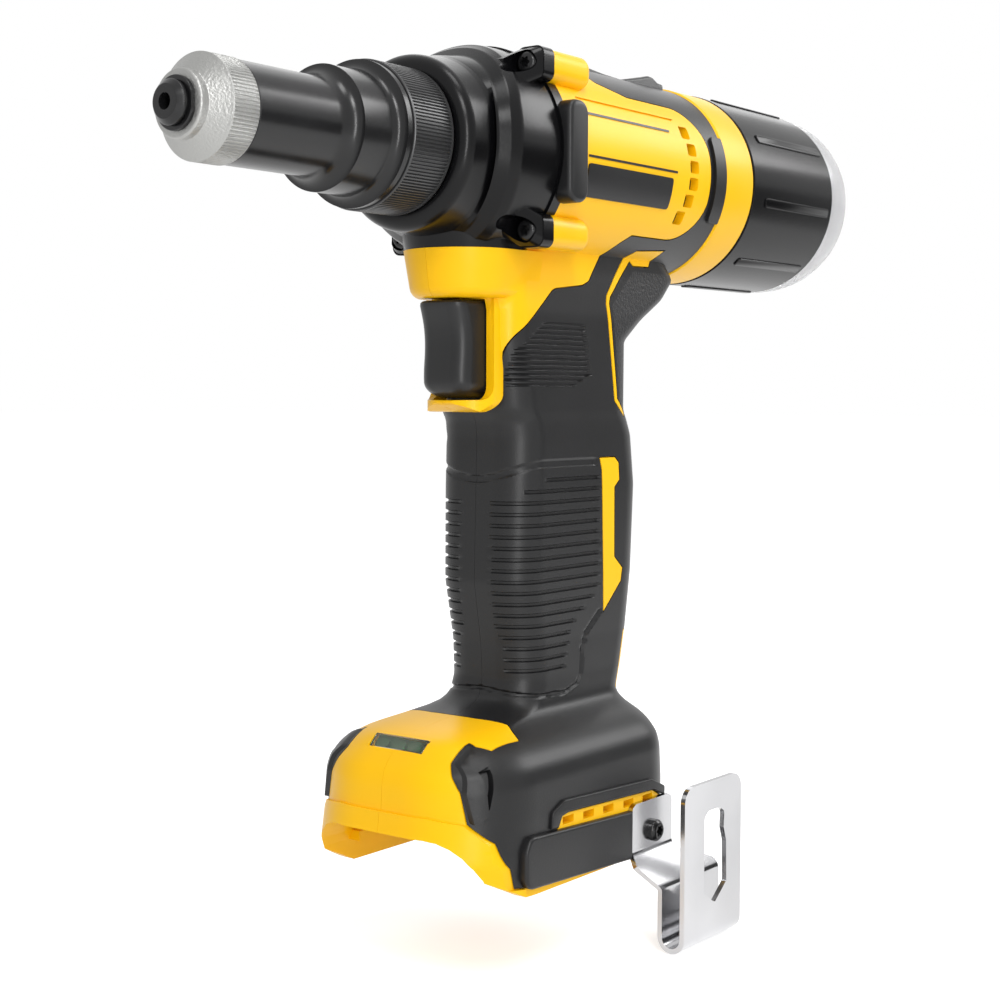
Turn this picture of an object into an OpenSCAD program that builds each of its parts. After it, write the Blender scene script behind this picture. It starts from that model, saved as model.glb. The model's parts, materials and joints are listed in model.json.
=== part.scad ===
// Battery rivet tool, built as an assembly.
// The barrel runs along X with the nosepiece at the origin and the mandrel container behind it.
// Z is up, and the tool's left side faces -Y.

/* [Nose] */
// Bore of the nosepiece, for the mandrel of the rivet
nose_bore_d = 4.2; // [3:0.1:4.4]
// Width of the nosepiece across its flats
nose_hex = 12; // [11.4:0.2:14]
// How far the nosepiece stands out of its cap
nose_reach = 4.1; // [3:0.1:8]
// Length of the nosepiece's threaded shank
shank_len = 6; // [5:0.25:6.5]
// Diameter of the cap's knurled band
cap_d = 27.2; // [26.4:0.2:32]
// Diameter of the cap's front collar
cap_front_d = 17.4; // [15:0.2:20]
// Length of the cap
cap_len = 15.4; // [14.6:0.2:18]
// Diameter of the sleeve's slim front
sleeve_d = 26.6; // [25.6:0.2:30]
// Diameter of the sleeve's middle step
step_d = 34; // [32:0.5:37]
// Diameter of the sleeve's last step
shoulder_d = 40.4; // [39:0.2:44]
// Length of the sleeve in front of the collar
sleeve_len = 50; // [47:1:60]
// Diameter of the knurled lock collar
collar_d = 41.4; // [39:0.2:46]
// Length of the lock collar
collar_len = 16.7; // [14:0.5:20]

/* [Jaws] */
// Diameter of the jaw case
jaw_case_d = 20; // [19.6:0.1:20.2]
// Length of the jaw case
jaw_case_len = 32; // [31:0.5:34]
// Half angle of the cone that closes the jaws
cone_deg = 13; // [11:0.5:14]
// Length of the jaws
jaw_len = 12; // [10:0.5:12.5]
// Pull of the spindle
stroke = 25; // [18:1:25]

/* [Gearcase] */
// Diameter of the gearcase hub behind the collar
hub_d = 50; // [48:0.4:54]
// Diameter of the gearcase at its back
case_d = 61.6; // [60:0.4:63]
// Length of the gearcase behind the collar
case_len = 35.2; // [34:0.2:42]
// Distance of each ear's screw from the middle plane, across and up
ear_pos = 23.8; // [23.4:0.2:25]
// Diameter of the ear round each screw
ear_d = 8.8; // [8.4:0.2:9.6]

/* [Drive] */
// Diameter of the ball nut
nut_d = 27; // [24:0.5:28]
// Diameter of the spindle's screw
screw_d = 12; // [11:0.2:12.2]
// Teeth on the sun gear, at a module of one millimetre
sun_teeth = 21; // [21:3:21]
// Teeth on each planet gear
planet_teeth = 12; // [12:3:12]
// Width of the gears' teeth
gear_w = 6.6; // [5:0.2:7]

/* [Motor] */
// Diameter of the hollow motor shaft
shaft_d = 16; // [15.2:0.2:16.4]
// Diameter of the rotor with its magnets
rotor_d = 28.8; // [27:0.2:30]
// Length of the stator stack
stack_len = 32; // [24:1:33]
// Diameter of the fan
fan_d = 52; // [44:1:54]

/* [Housing] */
// Diameter of the barrel of the housing
body_d = 64; // [63:0.5:68]
// Length of the barrel of the housing
body_len = 91.5; // [90:0.5:100]
// Wall of the barrel
wall = 3.5; // [3:0.1:4]
// Thickness of the soft skin over the grip
skin = 2; // [1.2:0.1:2.4]
// Diameter of the ring behind the housing
ring_d = 65; // [64:0.5:68]
// Length of the ring behind the housing
ring_len = 18.8; // [14:0.4:24]

/* [Container] */
// Diameter of the mandrel container
container_d = 65.4; // [65:0.2:70]
// Length of the mandrel container
container_len = 78.8; // [60:1:120]
// Wall of the mandrel container
container_wall = 2; // [1.6:0.1:2.4]
// Number of grip ribs round the container
container_ribs = 9; // [6:1:12]

/* [Grip] */
// Half width of the grip at its fullest
grip_hw = 17.6; // [17:0.2:20]
// Depth of the grip, front to back
grip_depth = 67.5; // [66:0.5:72]
// Width of the trigger
trigger_w = 15; // [13:0.5:15.4]
// Travel of the trigger
trigger_travel = 6.5; // [4:0.5:6.5]

/* [Foot] */
// Half width of the foot
foot_hw = 35.5; // [34.5:0.5:38]
// Length of the foot in front of the gearcase's back face
foot_reach = 43; // [40:0.5:48]
// Length of the foot behind the gearcase's back face
foot_back_len = 60; // [58:0.5:66]
// Height of the foot's lower edge below the barrel axis
foot_drop = 214; // [212:0.5:218]
// Half width of the bay that takes the battery
bay_hw = 31; // [28:0.5:31.5]

/* [Belt hook] */
// Thickness of the hook's steel strip
hook_t = 1.6; // [1.2:0.1:2]
// Width of the hook's outer plate
hook_w = 34; // [30:1:40]
// Room for a belt between the hook's plate and the foot
belt_gap = 14.6; // [12:0.2:18]
// Diameter of the hook screw's thread
hook_screw_d = 4; // [3:0.5:4]

/* [Hidden] */
$fn = 64;

// Clearances: bonded or screwed pieces, shafts in their bores, sliding pieces, and free pieces
fit = 0.1;
run = 0.05;
slip = 0.35;
free = 0.3;

// Stations along the barrel
x_cap = nose_reach;
x_sleeve = x_cap + cap_len;
x_collar = x_sleeve + sleeve_len;
x_hub = x_collar + collar_len + 2 * free;
x_seam = x_hub + case_len;
x_ring = x_seam + body_len;
x_container = x_ring + ring_len;
x_end = x_container + container_len;

// Nose and jaws
knurl_r = cap_d / 2;
thread_r = 5;
spigot_r = 11.5;
spigot_len = 6;
bore_r = jaw_case_d / 2 + slip;
x_shank = x_cap + shank_len;
x_jaw = x_shank + 2;
x_case = x_jaw + 0.5;
x_case_end = x_case + jaw_case_len;
cone_r = 4.6;
x_cone = x_case + 1;
jaw_bore_r = 8.05;
x_cone_end = x_cone + (jaw_bore_r - cone_r) / tan(cone_deg);
x_jaw_end = x_jaw + jaw_len;
jaw_gap = 0.6;
jaw_grip_r = 2.3;
jaw_close = 1.6;
x_pusher = x_jaw_end + 0.2;
x_pusher_flange = x_cone_end + jaw_close + 0.4;
pusher_flange = 2;
x_rod = x_case_end - 5.2;
rod_r = 9;
through_r = 3;
key_w = 4;
key_r = 12;
key_len = 4;

// Gearcase and drive
flange_len = 6.3;
flange_r = 17.3;
thread_len = 10.2;
case_bore_r = 11;
x_thrust = x_hub + 3.6;
thrust_len = 3.9;
bearing_seat_r = 20.5;
x_nut = x_thrust + thrust_len + free;
carrier_len = 4;
x_gears = x_seam - gear_w - 0.5;
x_carrier = x_gears - 0.6 - carrier_len;
nut_len = x_carrier - x_nut;
ring_teeth = sun_teeth + 2 * planet_teeth;
orbit_r = (sun_teeth + planet_teeth) / 2;
ring_gear_r = ring_teeth / 2 + 3.5;
pin_r = 2;
x_rod_end = x_thrust - stroke - 3;
x_screw_end = x_carrier + 3;
tail_r = 4.4;
x_tail_end = x_seam + 43;
shell_r = body_d / 2;
core_r = shell_r - skin;
barrel_r = shell_r - wall;
ear_len = 4.5;
screw_head_r = 3.4;
screw_r = 2;

// Motor, fan and tube
x_bracket = x_seam + 0.2;
x_front_bearing = x_seam + 2.7;
bearing_len = 6;
bearing_r = 14;
x_stack = x_seam + 12;
coil_len = 3.5;
x_board = x_stack + stack_len + coil_len + 1.5;
board_t = 1.6;
x_fan = x_board + board_t + 5.4;
fan_len = 13;
x_bulkhead = x_ring - 17.5;
x_rear_bearing = x_bulkhead + 1;
shaft_bore_r = 6.4;
tube_r = 5.7;
tube_bore_r = 4.8;
x_tube = x_screw_end + stroke + 14;

// Container
ring_bore_r = 26;
seat_r = container_d / 2 - container_wall - 0.6;
seat_len = 10;
seal_r = 1;

// Side panel of the housing, where the hard shell shows between the soft skins
panel_top = 20.8;
panel_low = -21.6;
panel_end = x_ring - 8.5;
panel_r = 15;

// Grip and foot
grip_front = x_seam;
grip_back = x_seam + grip_depth;
neck_front = x_seam - 5;
neck_hw = grip_hw - 0.6;
waist_hw = grip_hw - 1.3;
block_r = 16.4;
x_block = x_seam - 6.2;
block_top = -28.8;
block_low = -43;
lip_low = -76.2;
lip_r = 10;
foot_front = x_seam - foot_reach;
foot_back = x_seam + foot_back_len;
bay_top = -194;
bay_back = foot_back - 9;
arc_n = 5;
panel_vents = [for (i = [0:5]) let(z = 12.4 - 5.4 * i) [x_ring - 20.8 - z * z / 38, z]];

// Level sections of the grip and foot, from the bottom up:
// height, front, back, half width, front corner radius, back corner radius
sections = [
    [-foot_drop, foot_front + 0.5, foot_back, foot_hw, foot_hw - 9, 15],
    [-203, foot_front - 2.2, foot_back, foot_hw, foot_hw - 9.5, 15],
    [-192, foot_front - 0.6, foot_back, foot_hw, foot_hw - 9, 15],
    [-182, foot_front, foot_back, foot_hw - 0.5, foot_hw - 9, 15],
    [-178, foot_front + 1, foot_back, foot_hw - 1.7, foot_hw - 9.5, 15],
    [-174.5, foot_front + 4, foot_back - 0.3, foot_hw - 4.5, foot_hw - 11.5, 15],
    [-172, foot_front + 6.4, foot_back - 0.4, foot_hw - 8, foot_hw - 14, 15],
    [-169.5, foot_front + 8.8, foot_back - 0.5, waist_hw + 5, waist_hw + 1, 14],
    [-168, grip_front - 17, foot_back - 0.5, waist_hw + 2.8, 15, 13],
    [-166.3, grip_front - 4, foot_back - 0.5, waist_hw + 1.2, 12, 13],
    [-163.5, grip_front + 1.5, foot_back, waist_hw + 0.8, 11, 12],
    [-158, grip_front + 3.2, grip_back - 6, waist_hw + 0.5, 11, 11],
    [-147, grip_front + 2.6, grip_back - 3.3, waist_hw + 0.4, 11, 11],
    [-128, grip_front - 0.7, grip_back - 1, grip_hw - 0.4, 11, 11],
    [-100, grip_front, grip_back, grip_hw, 11, 11],
    [-84, grip_front + 0.5, grip_back - 1.4, grip_hw, 11, 12],
    [-79, grip_front - 0.2, grip_back - 2.6, neck_hw + 0.3, 11, 13],
    [lip_low, neck_front + 3.2, grip_back - 3.2, neck_hw, 10, 14],
    [-54, neck_front, grip_back - 3, neck_hw, 9, 14],
    [-47, neck_front, grip_back + 6.5, neck_hw, 9, 14],
    [-40, neck_front, grip_back + 19, neck_hw - 0.5, 9, 13],
    [-33, neck_front, grip_back + 26, neck_hw - 1, 9, 12],
    [-27, neck_front, grip_back + 20, neck_hw - 1, 9, 12],
    [-22, neck_front, grip_back + 11, neck_hw - 1, 9, 12]
];

// Shapes that repeat

// A solid of revolution about the barrel axis, from points of radius and station
module turned(points) {
    rotate([0, 90, 0])
        rotate_extrude($fn = 96)
            polygon(points);
}

// A round bar along X
module bar(x, length, r, y = 0, z = 0) {
    translate([x, y, z])
        rotate([0, 90, 0])
            cylinder(h = length, r = r);
}

// A tube along X about the barrel axis
module tube(x, length, r, bore) {
    difference() {
        bar(x, length, r);
        bar(x - 1, length + 2, bore);
    }
}

// A round bar along Y
module cross_bar(x, z, y, length, r) {
    translate([x, y, z])
        rotate([-90, 0, 0])
            cylinder(h = length, r = r);
}

// A box between two corners
module block(low, high) {
    translate(low)
        cube(high - low);
}

// A plate of an outline in X and Z, between two values of Y
module side_plate(y_low, y_high) {
    translate([0, y_high, 0])
        rotate([90, 0, 0])
            linear_extrude(y_high - y_low)
                children();
}

// A rectangle with round corners
module round_rect(low, high, r) {
    translate([low[0] + r, low[1]])
        square([high[0] - low[0] - 2 * r, high[1] - low[1]]);
    translate([low[0], low[1] + r])
        square([high[0] - low[0], high[1] - low[1] - 2 * r]);
    for (x = [low[0] + r, high[0] - r])
        for (y = [low[1] + r, high[1] - r])
            translate([x, y])
                circle(r);
}

// Half of a level section, on the side where Y is negative, drawn in by d
function half_ring(s, d) =
    let(f = s[1] + d, b = s[2] - d, w = s[3] - d, rf = max(s[4] - d, 1), rb = max(s[5] - d, 1))
    concat(
        [[f, 0, s[0]]],
        [for (i = [0:arc_n]) let(a = 180 + 90 * i / arc_n)
            [f + rf + rf * cos(a), rf - w + rf * sin(a), s[0]]],
        [for (i = [0:arc_n]) let(a = 270 + 90 * i / arc_n)
            [b - rb + rb * cos(a), rb - w + rb * sin(a), s[0]]],
        [[b, 0, s[0]]]);

// The left half of the grip and foot, skinned over the level sections and drawn in by d
module half_loft(d = 0) {
    rings = [for (s = sections) half_ring(s, d)];
    n = len(rings[0]);
    last = (len(rings) - 1) * n;
    polyhedron(
        points = [for (r = rings) each r],
        faces = concat(
            [[for (k = [0:n - 1]) k]],
            [[for (k = [n - 1:-1:0]) last + k]],
            [for (j = [0:len(rings) - 2]) for (k = [0:n - 1])
                let(a = j * n + k, b = j * n + (k + 1) % n)
                each [[a, a + n, b + n], [a, b + n, b]]]));
}

// A coil spring along X, as one unbroken tube
function coil_point(x, length, r, turns, t) =
    [x + length * t, r * cos(360 * turns * t), r * sin(360 * turns * t)];

module coil_spring(x, length, r, wire_r, turns, z = 0) {
    sides = 6;
    rings = 8 * turns;
    slope = atan2(length, 2 * PI * r * turns);
    points = [for (i = [0:rings]) let(t = i / rings, a = 360 * turns * t, p = coil_point(x, length, r, turns, t))
        for (k = [0:sides - 1]) let(b = 360 * k / sides, u = wire_r * cos(b), v = wire_r * sin(b))
            [p[0] + v * cos(slope),
             p[1] + u * cos(a) + v * sin(slope) * sin(a),
             p[2] + u * sin(a) - v * sin(slope) * cos(a) + z]];
    echo("least gap between coils", length / turns * cos(slope) - 2 * wire_r);
    polyhedron(
        points = points,
        faces = concat(
            [[for (k = [0:sides - 1]) k]],
            [[for (k = [sides - 1:-1:0]) rings * sides + k]],
            [for (i = [0:rings - 1]) for (k = [0:sides - 1])
                let(a = i * sides + k, b = i * sides + (k + 1) % sides)
                each [[a, a + sides, b + sides], [a, b + sides, b]]]));
}

// Outline of a gear with a module of one millimetre, slim enough to run with play
function tooth(teeth, i, radius, half) =
    let(a = 360 * i / teeth, h = asin(half / radius))
    [[radius * cos(a - h), radius * sin(a - h)], [radius * cos(a + h), radius * sin(a + h)]];

function gear_outline(teeth, inward = 1) = [for (i = [0:teeth - 1])
    let(pitch = teeth / 2,
        low = tooth(teeth, i, pitch - inward * 1.2, 0.86),
        mid = tooth(teeth, i, pitch, 0.58),
        tip = tooth(teeth, i, pitch + inward * 0.85, 0.26))
    each [low[0], mid[0], tip[0], tip[1], mid[1], low[1]]];

module gear(x, teeth, length, turn = 0) {
    translate([x, 0, 0])
        rotate([0, 90, 0])
            rotate([0, 0, turn])
                linear_extrude(length)
                    polygon(gear_outline(teeth));
}

// A ball bearing's closed outline: two rings with a shield set back between them
module bearing(x, length, r, bore) {
    set_back = 0.5;
    ring = (r - bore) / 4;
    difference() {
        tube(x, length, r, bore);
        tube(x - 1, 1 + set_back, r - ring, bore + ring);
        tube(x + length - set_back, 1 + set_back, r - ring, bore + ring);
    }
}

// A screw along X with a socketed head at its front
module socket_screw(x, length, head_len, head_r, r, y, z) {
    difference() {
        union() {
            bar(x, head_len, head_r, y, z);
            bar(x, length, r, y, z);
        }
        translate([x - 1, y, z])
            rotate([0, 90, 0])
                cylinder(h = 1 + head_len * 0.6, r = head_r * 0.5, $fn = 6);
    }
}

module at_ears() {
    for (y = [-ear_pos, ear_pos])
        for (z = [-ear_pos, ear_pos])
            translate([0, y, z])
                children();
}

// Nose

module nosepiece() {
    color("dimgray")
        difference() {
            union() {
                intersection() {
                    translate([0, 0, 0])
                        rotate([0, 90, 0])
                            cylinder(h = nose_reach, d = nose_hex / cos(30), $fn = 6);
                    turned([[0, 0], [nose_hex * 0.37, 0], [nose_hex * 0.52, 1.6],
                        [nose_hex * 0.57, nose_reach], [0, nose_reach]]);
                }
                bar(nose_reach - 0.5, shank_len + 0.5, thread_r - run);
            }
            bar(-1, x_shank + 2, nose_bore_d / 2);
        }
}

module nose_cap() {
    cone_start = x_cap + 2.4;
    band_start = x_cap + 6.4;
    color("silver")
        difference() {
            turned([[thread_r, x_cap], [cap_front_d / 2 - 0.6, x_cap], [cap_front_d / 2, x_cap + 0.6],
                [cap_front_d / 2, cone_start], [knurl_r - 1.2, band_start - 1], [knurl_r, band_start],
                [knurl_r, x_sleeve - 0.5], [knurl_r - 0.5, x_sleeve], [thread_r, x_sleeve]]);
            bar(x_shank - 0.2, cap_len, bore_r + 0.4);
            bar(x_sleeve - spigot_len - free, cap_len, spigot_r + run);
        }
}

module nose_sleeve() {
    step_x = x_collar - 21;
    shoulder_x = x_collar - 5;
    fillet = 3;
    color([0.07, 0.07, 0.08])
        difference() {
            turned(concat(
                [[bore_r, x_sleeve - spigot_len], [spigot_r, x_sleeve - spigot_len], [spigot_r, x_sleeve],
                    [sleeve_d / 2, x_sleeve]],
                [for (a = [0:30:90]) [sleeve_d / 2 + (step_d - sleeve_d) / 2 * (1 - cos(a)),
                    step_x + 1.8 * fillet * sin(a)]],
                [for (a = [0:30:90]) [step_d / 2 + (shoulder_d - step_d) / 2 * (1 - cos(a)),
                    shoulder_x + fillet * sin(a)]],
                [[shoulder_d / 2, x_collar], [flange_r, x_collar], [flange_r, x_collar + flange_len],
                    [bore_r, x_collar + flange_len]]));
            key_slots(x_rod_end - key_len - 2, x_collar + flange_len + 1);
        }
}

// Slots that keep the pull rod from turning
module key_slots(x_low, x_high) {
    block([x_low, -key_w / 2 - slip, -key_r - slip], [x_high, key_w / 2 + slip, key_r + slip]);
}

module lock_collar() {
    color([0.1, 0.1, 0.1])
        difference() {
            turned([[flange_r + slip, x_collar + free], [collar_d / 2 - 0.4, x_collar + free],
                [collar_d / 2, x_collar + free + 0.4], [collar_d / 2, x_collar + free + collar_len - 0.4],
                [collar_d / 2 - 0.4, x_collar + free + collar_len],
                [flange_r + slip, x_collar + free + collar_len]]);
            for (a = [0:20:359])
                rotate([a, 0, 0])
                    bar(x_collar, collar_len, 0.5, collar_d / 2 + 0.1);
        }
}

// Jaws and spindle

module jaw_case() {
    color("gray")
        turned([[cone_r, x_case], [jaw_case_d / 2 - 1, x_case], [jaw_case_d / 2, x_case + 1],
            [jaw_case_d / 2, x_case_end], [jaw_bore_r, x_case_end], [jaw_bore_r, x_cone_end],
            [cone_r, x_cone]]);
}

module jaw(k) {
    back_r = cone_r + (x_jaw_end - x_cone) * tan(cone_deg) - 0.4;
    color("dimgray")
        rotate([120 * k, 0, 0])
            intersection() {
                turned([[jaw_grip_r, x_jaw], [cone_r - 1.1, x_jaw], [cone_r - 0.4, x_cone],
                    [back_r, x_jaw_end], [jaw_grip_r, x_jaw_end]]);
                translate([x_jaw - 1, 0, 0])
                    rotate([0, 90, 0])
                        linear_extrude(jaw_len + 2)
                            polygon([[-jaw_gap / sin(60), 0], [-20 - jaw_gap / sin(60), 20 * tan(60)],
                                [-20 - jaw_gap / sin(60), -20 * tan(60)]]);
            }
}

module jaw_1() { jaw(0); }
module jaw_2() { jaw(1); }
module jaw_3() { jaw(2); }

module jaw_pusher() {
    nose_r = cone_r + (x_pusher - jaw_close - x_cone) * tan(cone_deg) - 0.5;
    color("lightgray")
        turned([[through_r, x_pusher], [nose_r, x_pusher], [nose_r, x_pusher_flange],
            [jaw_bore_r - 0.45, x_pusher_flange], [jaw_bore_r - 0.45, x_pusher_flange + pusher_flange],
            [through_r, x_pusher_flange + pusher_flange]]);
}

module jaw_spring() {
    start = x_pusher_flange + pusher_flange + 0.6;
    color("silver")
        coil_spring(start, x_rod - 0.6 - start, 6, 0.45, 3);
}

module pull_rod() {
    socket_x = x_rod_end - 8;
    color("gray")
        union() {
            turned([[through_r, x_rod], [jaw_bore_r - run, x_rod], [jaw_bore_r - run, x_case_end],
                [rod_r, x_case_end], [rod_r, x_rod_end], [6.5, x_rod_end], [6.5, socket_x], [through_r, socket_x]]);
            for (side = [-1, 1])
                block([x_rod_end - key_len, -key_w / 2, side > 0 ? rod_r - 1 : -key_r],
                    [x_rod_end, key_w / 2, side > 0 ? key_r : 1 - rod_r]);
        }
}

module spindle() {
    socket_x = x_rod_end - 8;
    color("silver")
        turned([[through_r, socket_x], [6.5 - run, socket_x], [6.5 - run, x_rod_end], [screw_d / 2, x_rod_end],
            [screw_d / 2, x_screw_end], [tail_r, x_screw_end], [tail_r, x_tail_end], [through_r, x_tail_end]]);
}

// Gearcase

module gearcase_outside() {
    dome_x = x_hub + 7.5;
    dome_len = case_len - 7.5 - ear_len - 0.2;
    turned(concat(
        [[0, x_hub - thread_len], [flange_r, x_hub - thread_len], [flange_r, x_hub], [hub_d / 2 - 4, x_hub]],
        [for (a = [30:30:90]) [hub_d / 2 - 4 + 4 * sin(a), x_hub + 4 * (1 - cos(a))]],
        [for (a = [0:15:90]) [hub_d / 2 + (case_d - hub_d) / 2 * sin(a), dome_x + dome_len * a / 90]],
        [[case_d / 2, x_seam], [0, x_seam]]));
    at_ears()
        bar(x_seam - ear_len, ear_len, ear_d / 2);
    translate([0, 0, block_top])
        linear_extrude(18)
            intersection() {
                block_plan(x_seam, 0);
                translate([x_hub, -block_r])
                    square([case_len, 2 * block_r]);
            }
}

// Plan of the trigger block and of the gearcase skirt above it
module block_plan(x_back, d) {
    translate([x_block, 0])
        circle(block_r - d);
    translate([x_block, d - block_r])
        square([x_back - x_block, 2 * (block_r - d)]);
}

module gearcase() {
    color([0.06, 0.06, 0.07])
        difference() {
            gearcase_outside();
            at_ears() {
                bar(x_hub - 5, case_len + 5 - ear_len, screw_head_r + 0.6);
                bar(x_hub, case_len + 5, screw_r + fit);
            }
            bar(x_hub - thread_len - 1, thread_len + 10, case_bore_r);
            key_slots(x_hub - thread_len - 1, x_thrust + 1);
            bar(x_thrust, case_len, bearing_seat_r);
            bar(x_carrier - free, case_len, ring_gear_r + run);
        }
}

module gearcase_screws() {
    color([0.12, 0.12, 0.12])
        at_ears()
            socket_screw(x_seam - ear_len - 3.2, 3.2 + ear_len + 14, 3.2, screw_head_r, screw_r, 0, 0);
}

module thrust_bearing() {
    color("silver")
        bearing(x_thrust, thrust_len, bearing_seat_r - run, case_bore_r + 0.5);
}

module nut_bearing() {
    color("silver")
        bearing(x_nut + 2.5, bearing_len, bearing_seat_r - run, nut_d / 2 + run);
}

module ball_nut() {
    color("gray")
        tube(x_nut, nut_len, nut_d / 2, screw_d / 2 + slip);
}

module planet_carrier() {
    color("dimgray")
        difference() {
            tube(x_carrier, carrier_len, orbit_r + 4, screw_d / 2 + slip);
            for (k = [0:2])
                rotate([120 * k, 0, 0])
                    bar(x_carrier - 1, carrier_len + 2, pin_r, 0, orbit_r);
        }
}

module planet_pins() {
    color("silver")
        for (k = [0:2])
            rotate([120 * k, 0, 0])
                bar(x_carrier, carrier_len + 0.6 + gear_w, pin_r, 0, orbit_r);
}

module planet_gear(k) {
    color("goldenrod")
        rotate([120 * k, 0, 0])
            translate([0, 0, orbit_r])
                difference() {
                    gear(x_gears, planet_teeth, gear_w, 180 / planet_teeth);
                    bar(x_gears - 1, gear_w + 2, pin_r + run);
                }
}

module planet_gear_1() { planet_gear(0); }
module planet_gear_2() { planet_gear(1); }
module planet_gear_3() { planet_gear(2); }

module ring_gear() {
    color("gray")
        difference() {
            bar(x_gears - 0.3, gear_w + 0.6, ring_gear_r);
            translate([x_gears - 1, 0, 0])
                rotate([0, 90, 0])
                    linear_extrude(gear_w + 2)
                        rotate([0, 0, 180])
                            polygon([for (i = [0:ring_teeth - 1]) let(a = 360 / ring_teeth * i,
                                    tip_r = ring_teeth / 2 - 0.85, mid_r = ring_teeth / 2,
                                    root_r = ring_teeth / 2 + 1.2,
                                    tip_a = asin(0.26 / tip_r), mid_a = asin(0.58 / mid_r),
                                    root_a = asin(0.86 / root_r))
                                each [for (p = [[root_r, -root_a], [mid_r, -mid_a], [tip_r, -tip_a],
                                        [tip_r, tip_a], [mid_r, mid_a], [root_r, root_a]])
                                    [p[0] * cos(a + p[1]), p[0] * sin(a + p[1])]]]);
        }
}

module sun_gear() {
    color("gold")
        difference() {
            gear(x_gears, sun_teeth, gear_w, 180);
            bar(x_gears - 1, gear_w + 2, shaft_d / 2);
        }
}

// Motor

module motor_bracket() {
    hole_r = shaft_d / 2 + 1;
    color("darkgray")
        difference() {
            union() {
                bar(x_bracket, x_front_bearing - x_bracket + 1, barrel_r - run);
                bar(x_bracket, x_front_bearing + bearing_len - x_bracket, bearing_r + 2.5);
            }
            bar(x_bracket - 1, 20, hole_r);
            bar(x_front_bearing, 20, bearing_r + run);
        }
}

module front_bearing() {
    color("silver")
        bearing(x_front_bearing, bearing_len, bearing_r, shaft_d / 2 + run);
}

module rear_bearing() {
    color("silver")
        bearing(x_rear_bearing, bearing_len, bearing_r, shaft_d / 2 + run);
}

slots = 6;
tooth_w = 7;
yoke = 4;
core_out_r = barrel_r - run;

module stator_core() {
    bore = rotor_d / 2 + 0.6;
    color("slategray")
        difference() {
            union() {
                tube(x_stack, stack_len, core_out_r, core_out_r - yoke);
                for (k = [0:slots - 1])
                    rotate([360 / slots * k, 0, 0])
                        block([x_stack, -tooth_w / 2, bore + 0.5], [x_stack + stack_len, tooth_w / 2, core_out_r - 1]);
                tube(x_stack, stack_len, bore + 2, bore);
            }
            bar(x_stack - 1, stack_len + 2, bore);
        }
}

module stator_coils() {
    bore = rotor_d / 2 + 0.6;
    coil_w = 4;
    color("peru")
        for (k = [0:slots - 1])
            rotate([360 / slots * k, 0, 0])
                difference() {
                    block([x_stack - coil_len, -tooth_w / 2 - coil_w, bore + 4.6],
                        [x_stack + stack_len + coil_len, tooth_w / 2 + coil_w, core_out_r - yoke - 1.4]);
                    block([x_stack - fit, -tooth_w / 2 - fit, bore],
                        [x_stack + stack_len + fit, tooth_w / 2 + fit, core_out_r]);
                }
}

module rotor_core() {
    color("slategray")
        tube(x_stack, stack_len, rotor_d / 2 - 2.4, shaft_d / 2);
}

module rotor_magnets() {
    color("dimgray")
        difference() {
            tube(x_stack, stack_len, rotor_d / 2, rotor_d / 2 - 2.4);
            for (a = [0, 90])
                rotate([a, 0, 0])
                    block([x_stack - 1, -0.5, -rotor_d], [x_stack + stack_len + 1, 0.5, rotor_d]);
        }
}

module rotor_shaft() {
    color("lightgray")
        tube(x_gears - 0.2, x_rear_bearing + bearing_len + 0.5 - x_gears, shaft_d / 2, shaft_bore_r);
}

module sensor_board() {
    color("darkgreen")
        tube(x_board, board_t, barrel_r - fit, rotor_d / 2 + 3);
}

module fan() {
    blades = 11;
    color([0.15, 0.15, 0.16])
        difference() {
            union() {
                bar(x_fan, fan_len, shaft_d / 2 + 3);
                bar(x_fan, 1.8, fan_d / 2);
                for (k = [0:blades - 1])
                    rotate([360 / blades * k, 0, 0])
                        block([x_fan, -0.8, shaft_d / 2 + 2], [x_fan + fan_len - 2, 0.8, fan_d / 2 - 0.2]);
            }
            bar(x_fan - 1, fan_len + 2, shaft_d / 2);
        }
}

module mandrel_tube() {
    color("lightgray")
        tube(x_tube, x_container + 4 - x_tube, tube_r, tube_bore_r);
}

// Housing and soft skins

// Where the soft skin lies, seen from the side
module skin_outline() {
    corner_x = panel_end - panel_r;
    polygon(concat(
        [[neck_front - 20, lip_low], [neck_front - 4, lip_low], [neck_front, lip_low + 5.5],
            [neck_front + 1.6, block_low - 12], [x_seam + 17, block_low + 3.6], [x_seam + 32.5, block_low + 5.4],
            [x_seam + 36, block_low + 6.8], [x_seam + 45.5, panel_low - 2.4], [x_seam + 48.5, panel_low]],
        [for (a = [-90:30:90]) [corner_x + panel_r * cos(a),
            a < 0 ? panel_low + panel_r * (1 + sin(a)) : panel_top - panel_r * (1 - sin(a))]],
        [[x_seam + 44, panel_top], [x_seam + 30, panel_top + 3.2], [x_seam + 30, shell_r + 5],
            [x_ring + 40, shell_r + 5], [x_ring + 40, -165], [neck_front - 20, -165]]));
}

module skin_zone() {
    difference() {
        side_plate(-60, 1)
            skin_outline();
        // The shell shows round the trigger and its guard
        block([neck_front - 25, -lip_r - 0.5, lip_low], [neck_front + 16, 2, block_low]);
    }
    block([x_seam - 6, -60, -foot_drop - 5], [x_ring, 1, -165]);
    translate([foot_front - 5, 0, 0])
        rotate([90, 0, 90])
            linear_extrude(foot_reach)
                polygon([[-21, -165], [-20.5, -176], [-24, -191], [-31.5, -205], [-31.5, -foot_drop - 5],
                    [-60, -foot_drop - 5], [-60, -165]]);
}

module left_half_space() {
    block([0, -60, -foot_drop - 10], [x_end, 0, 60]);
}

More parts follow.
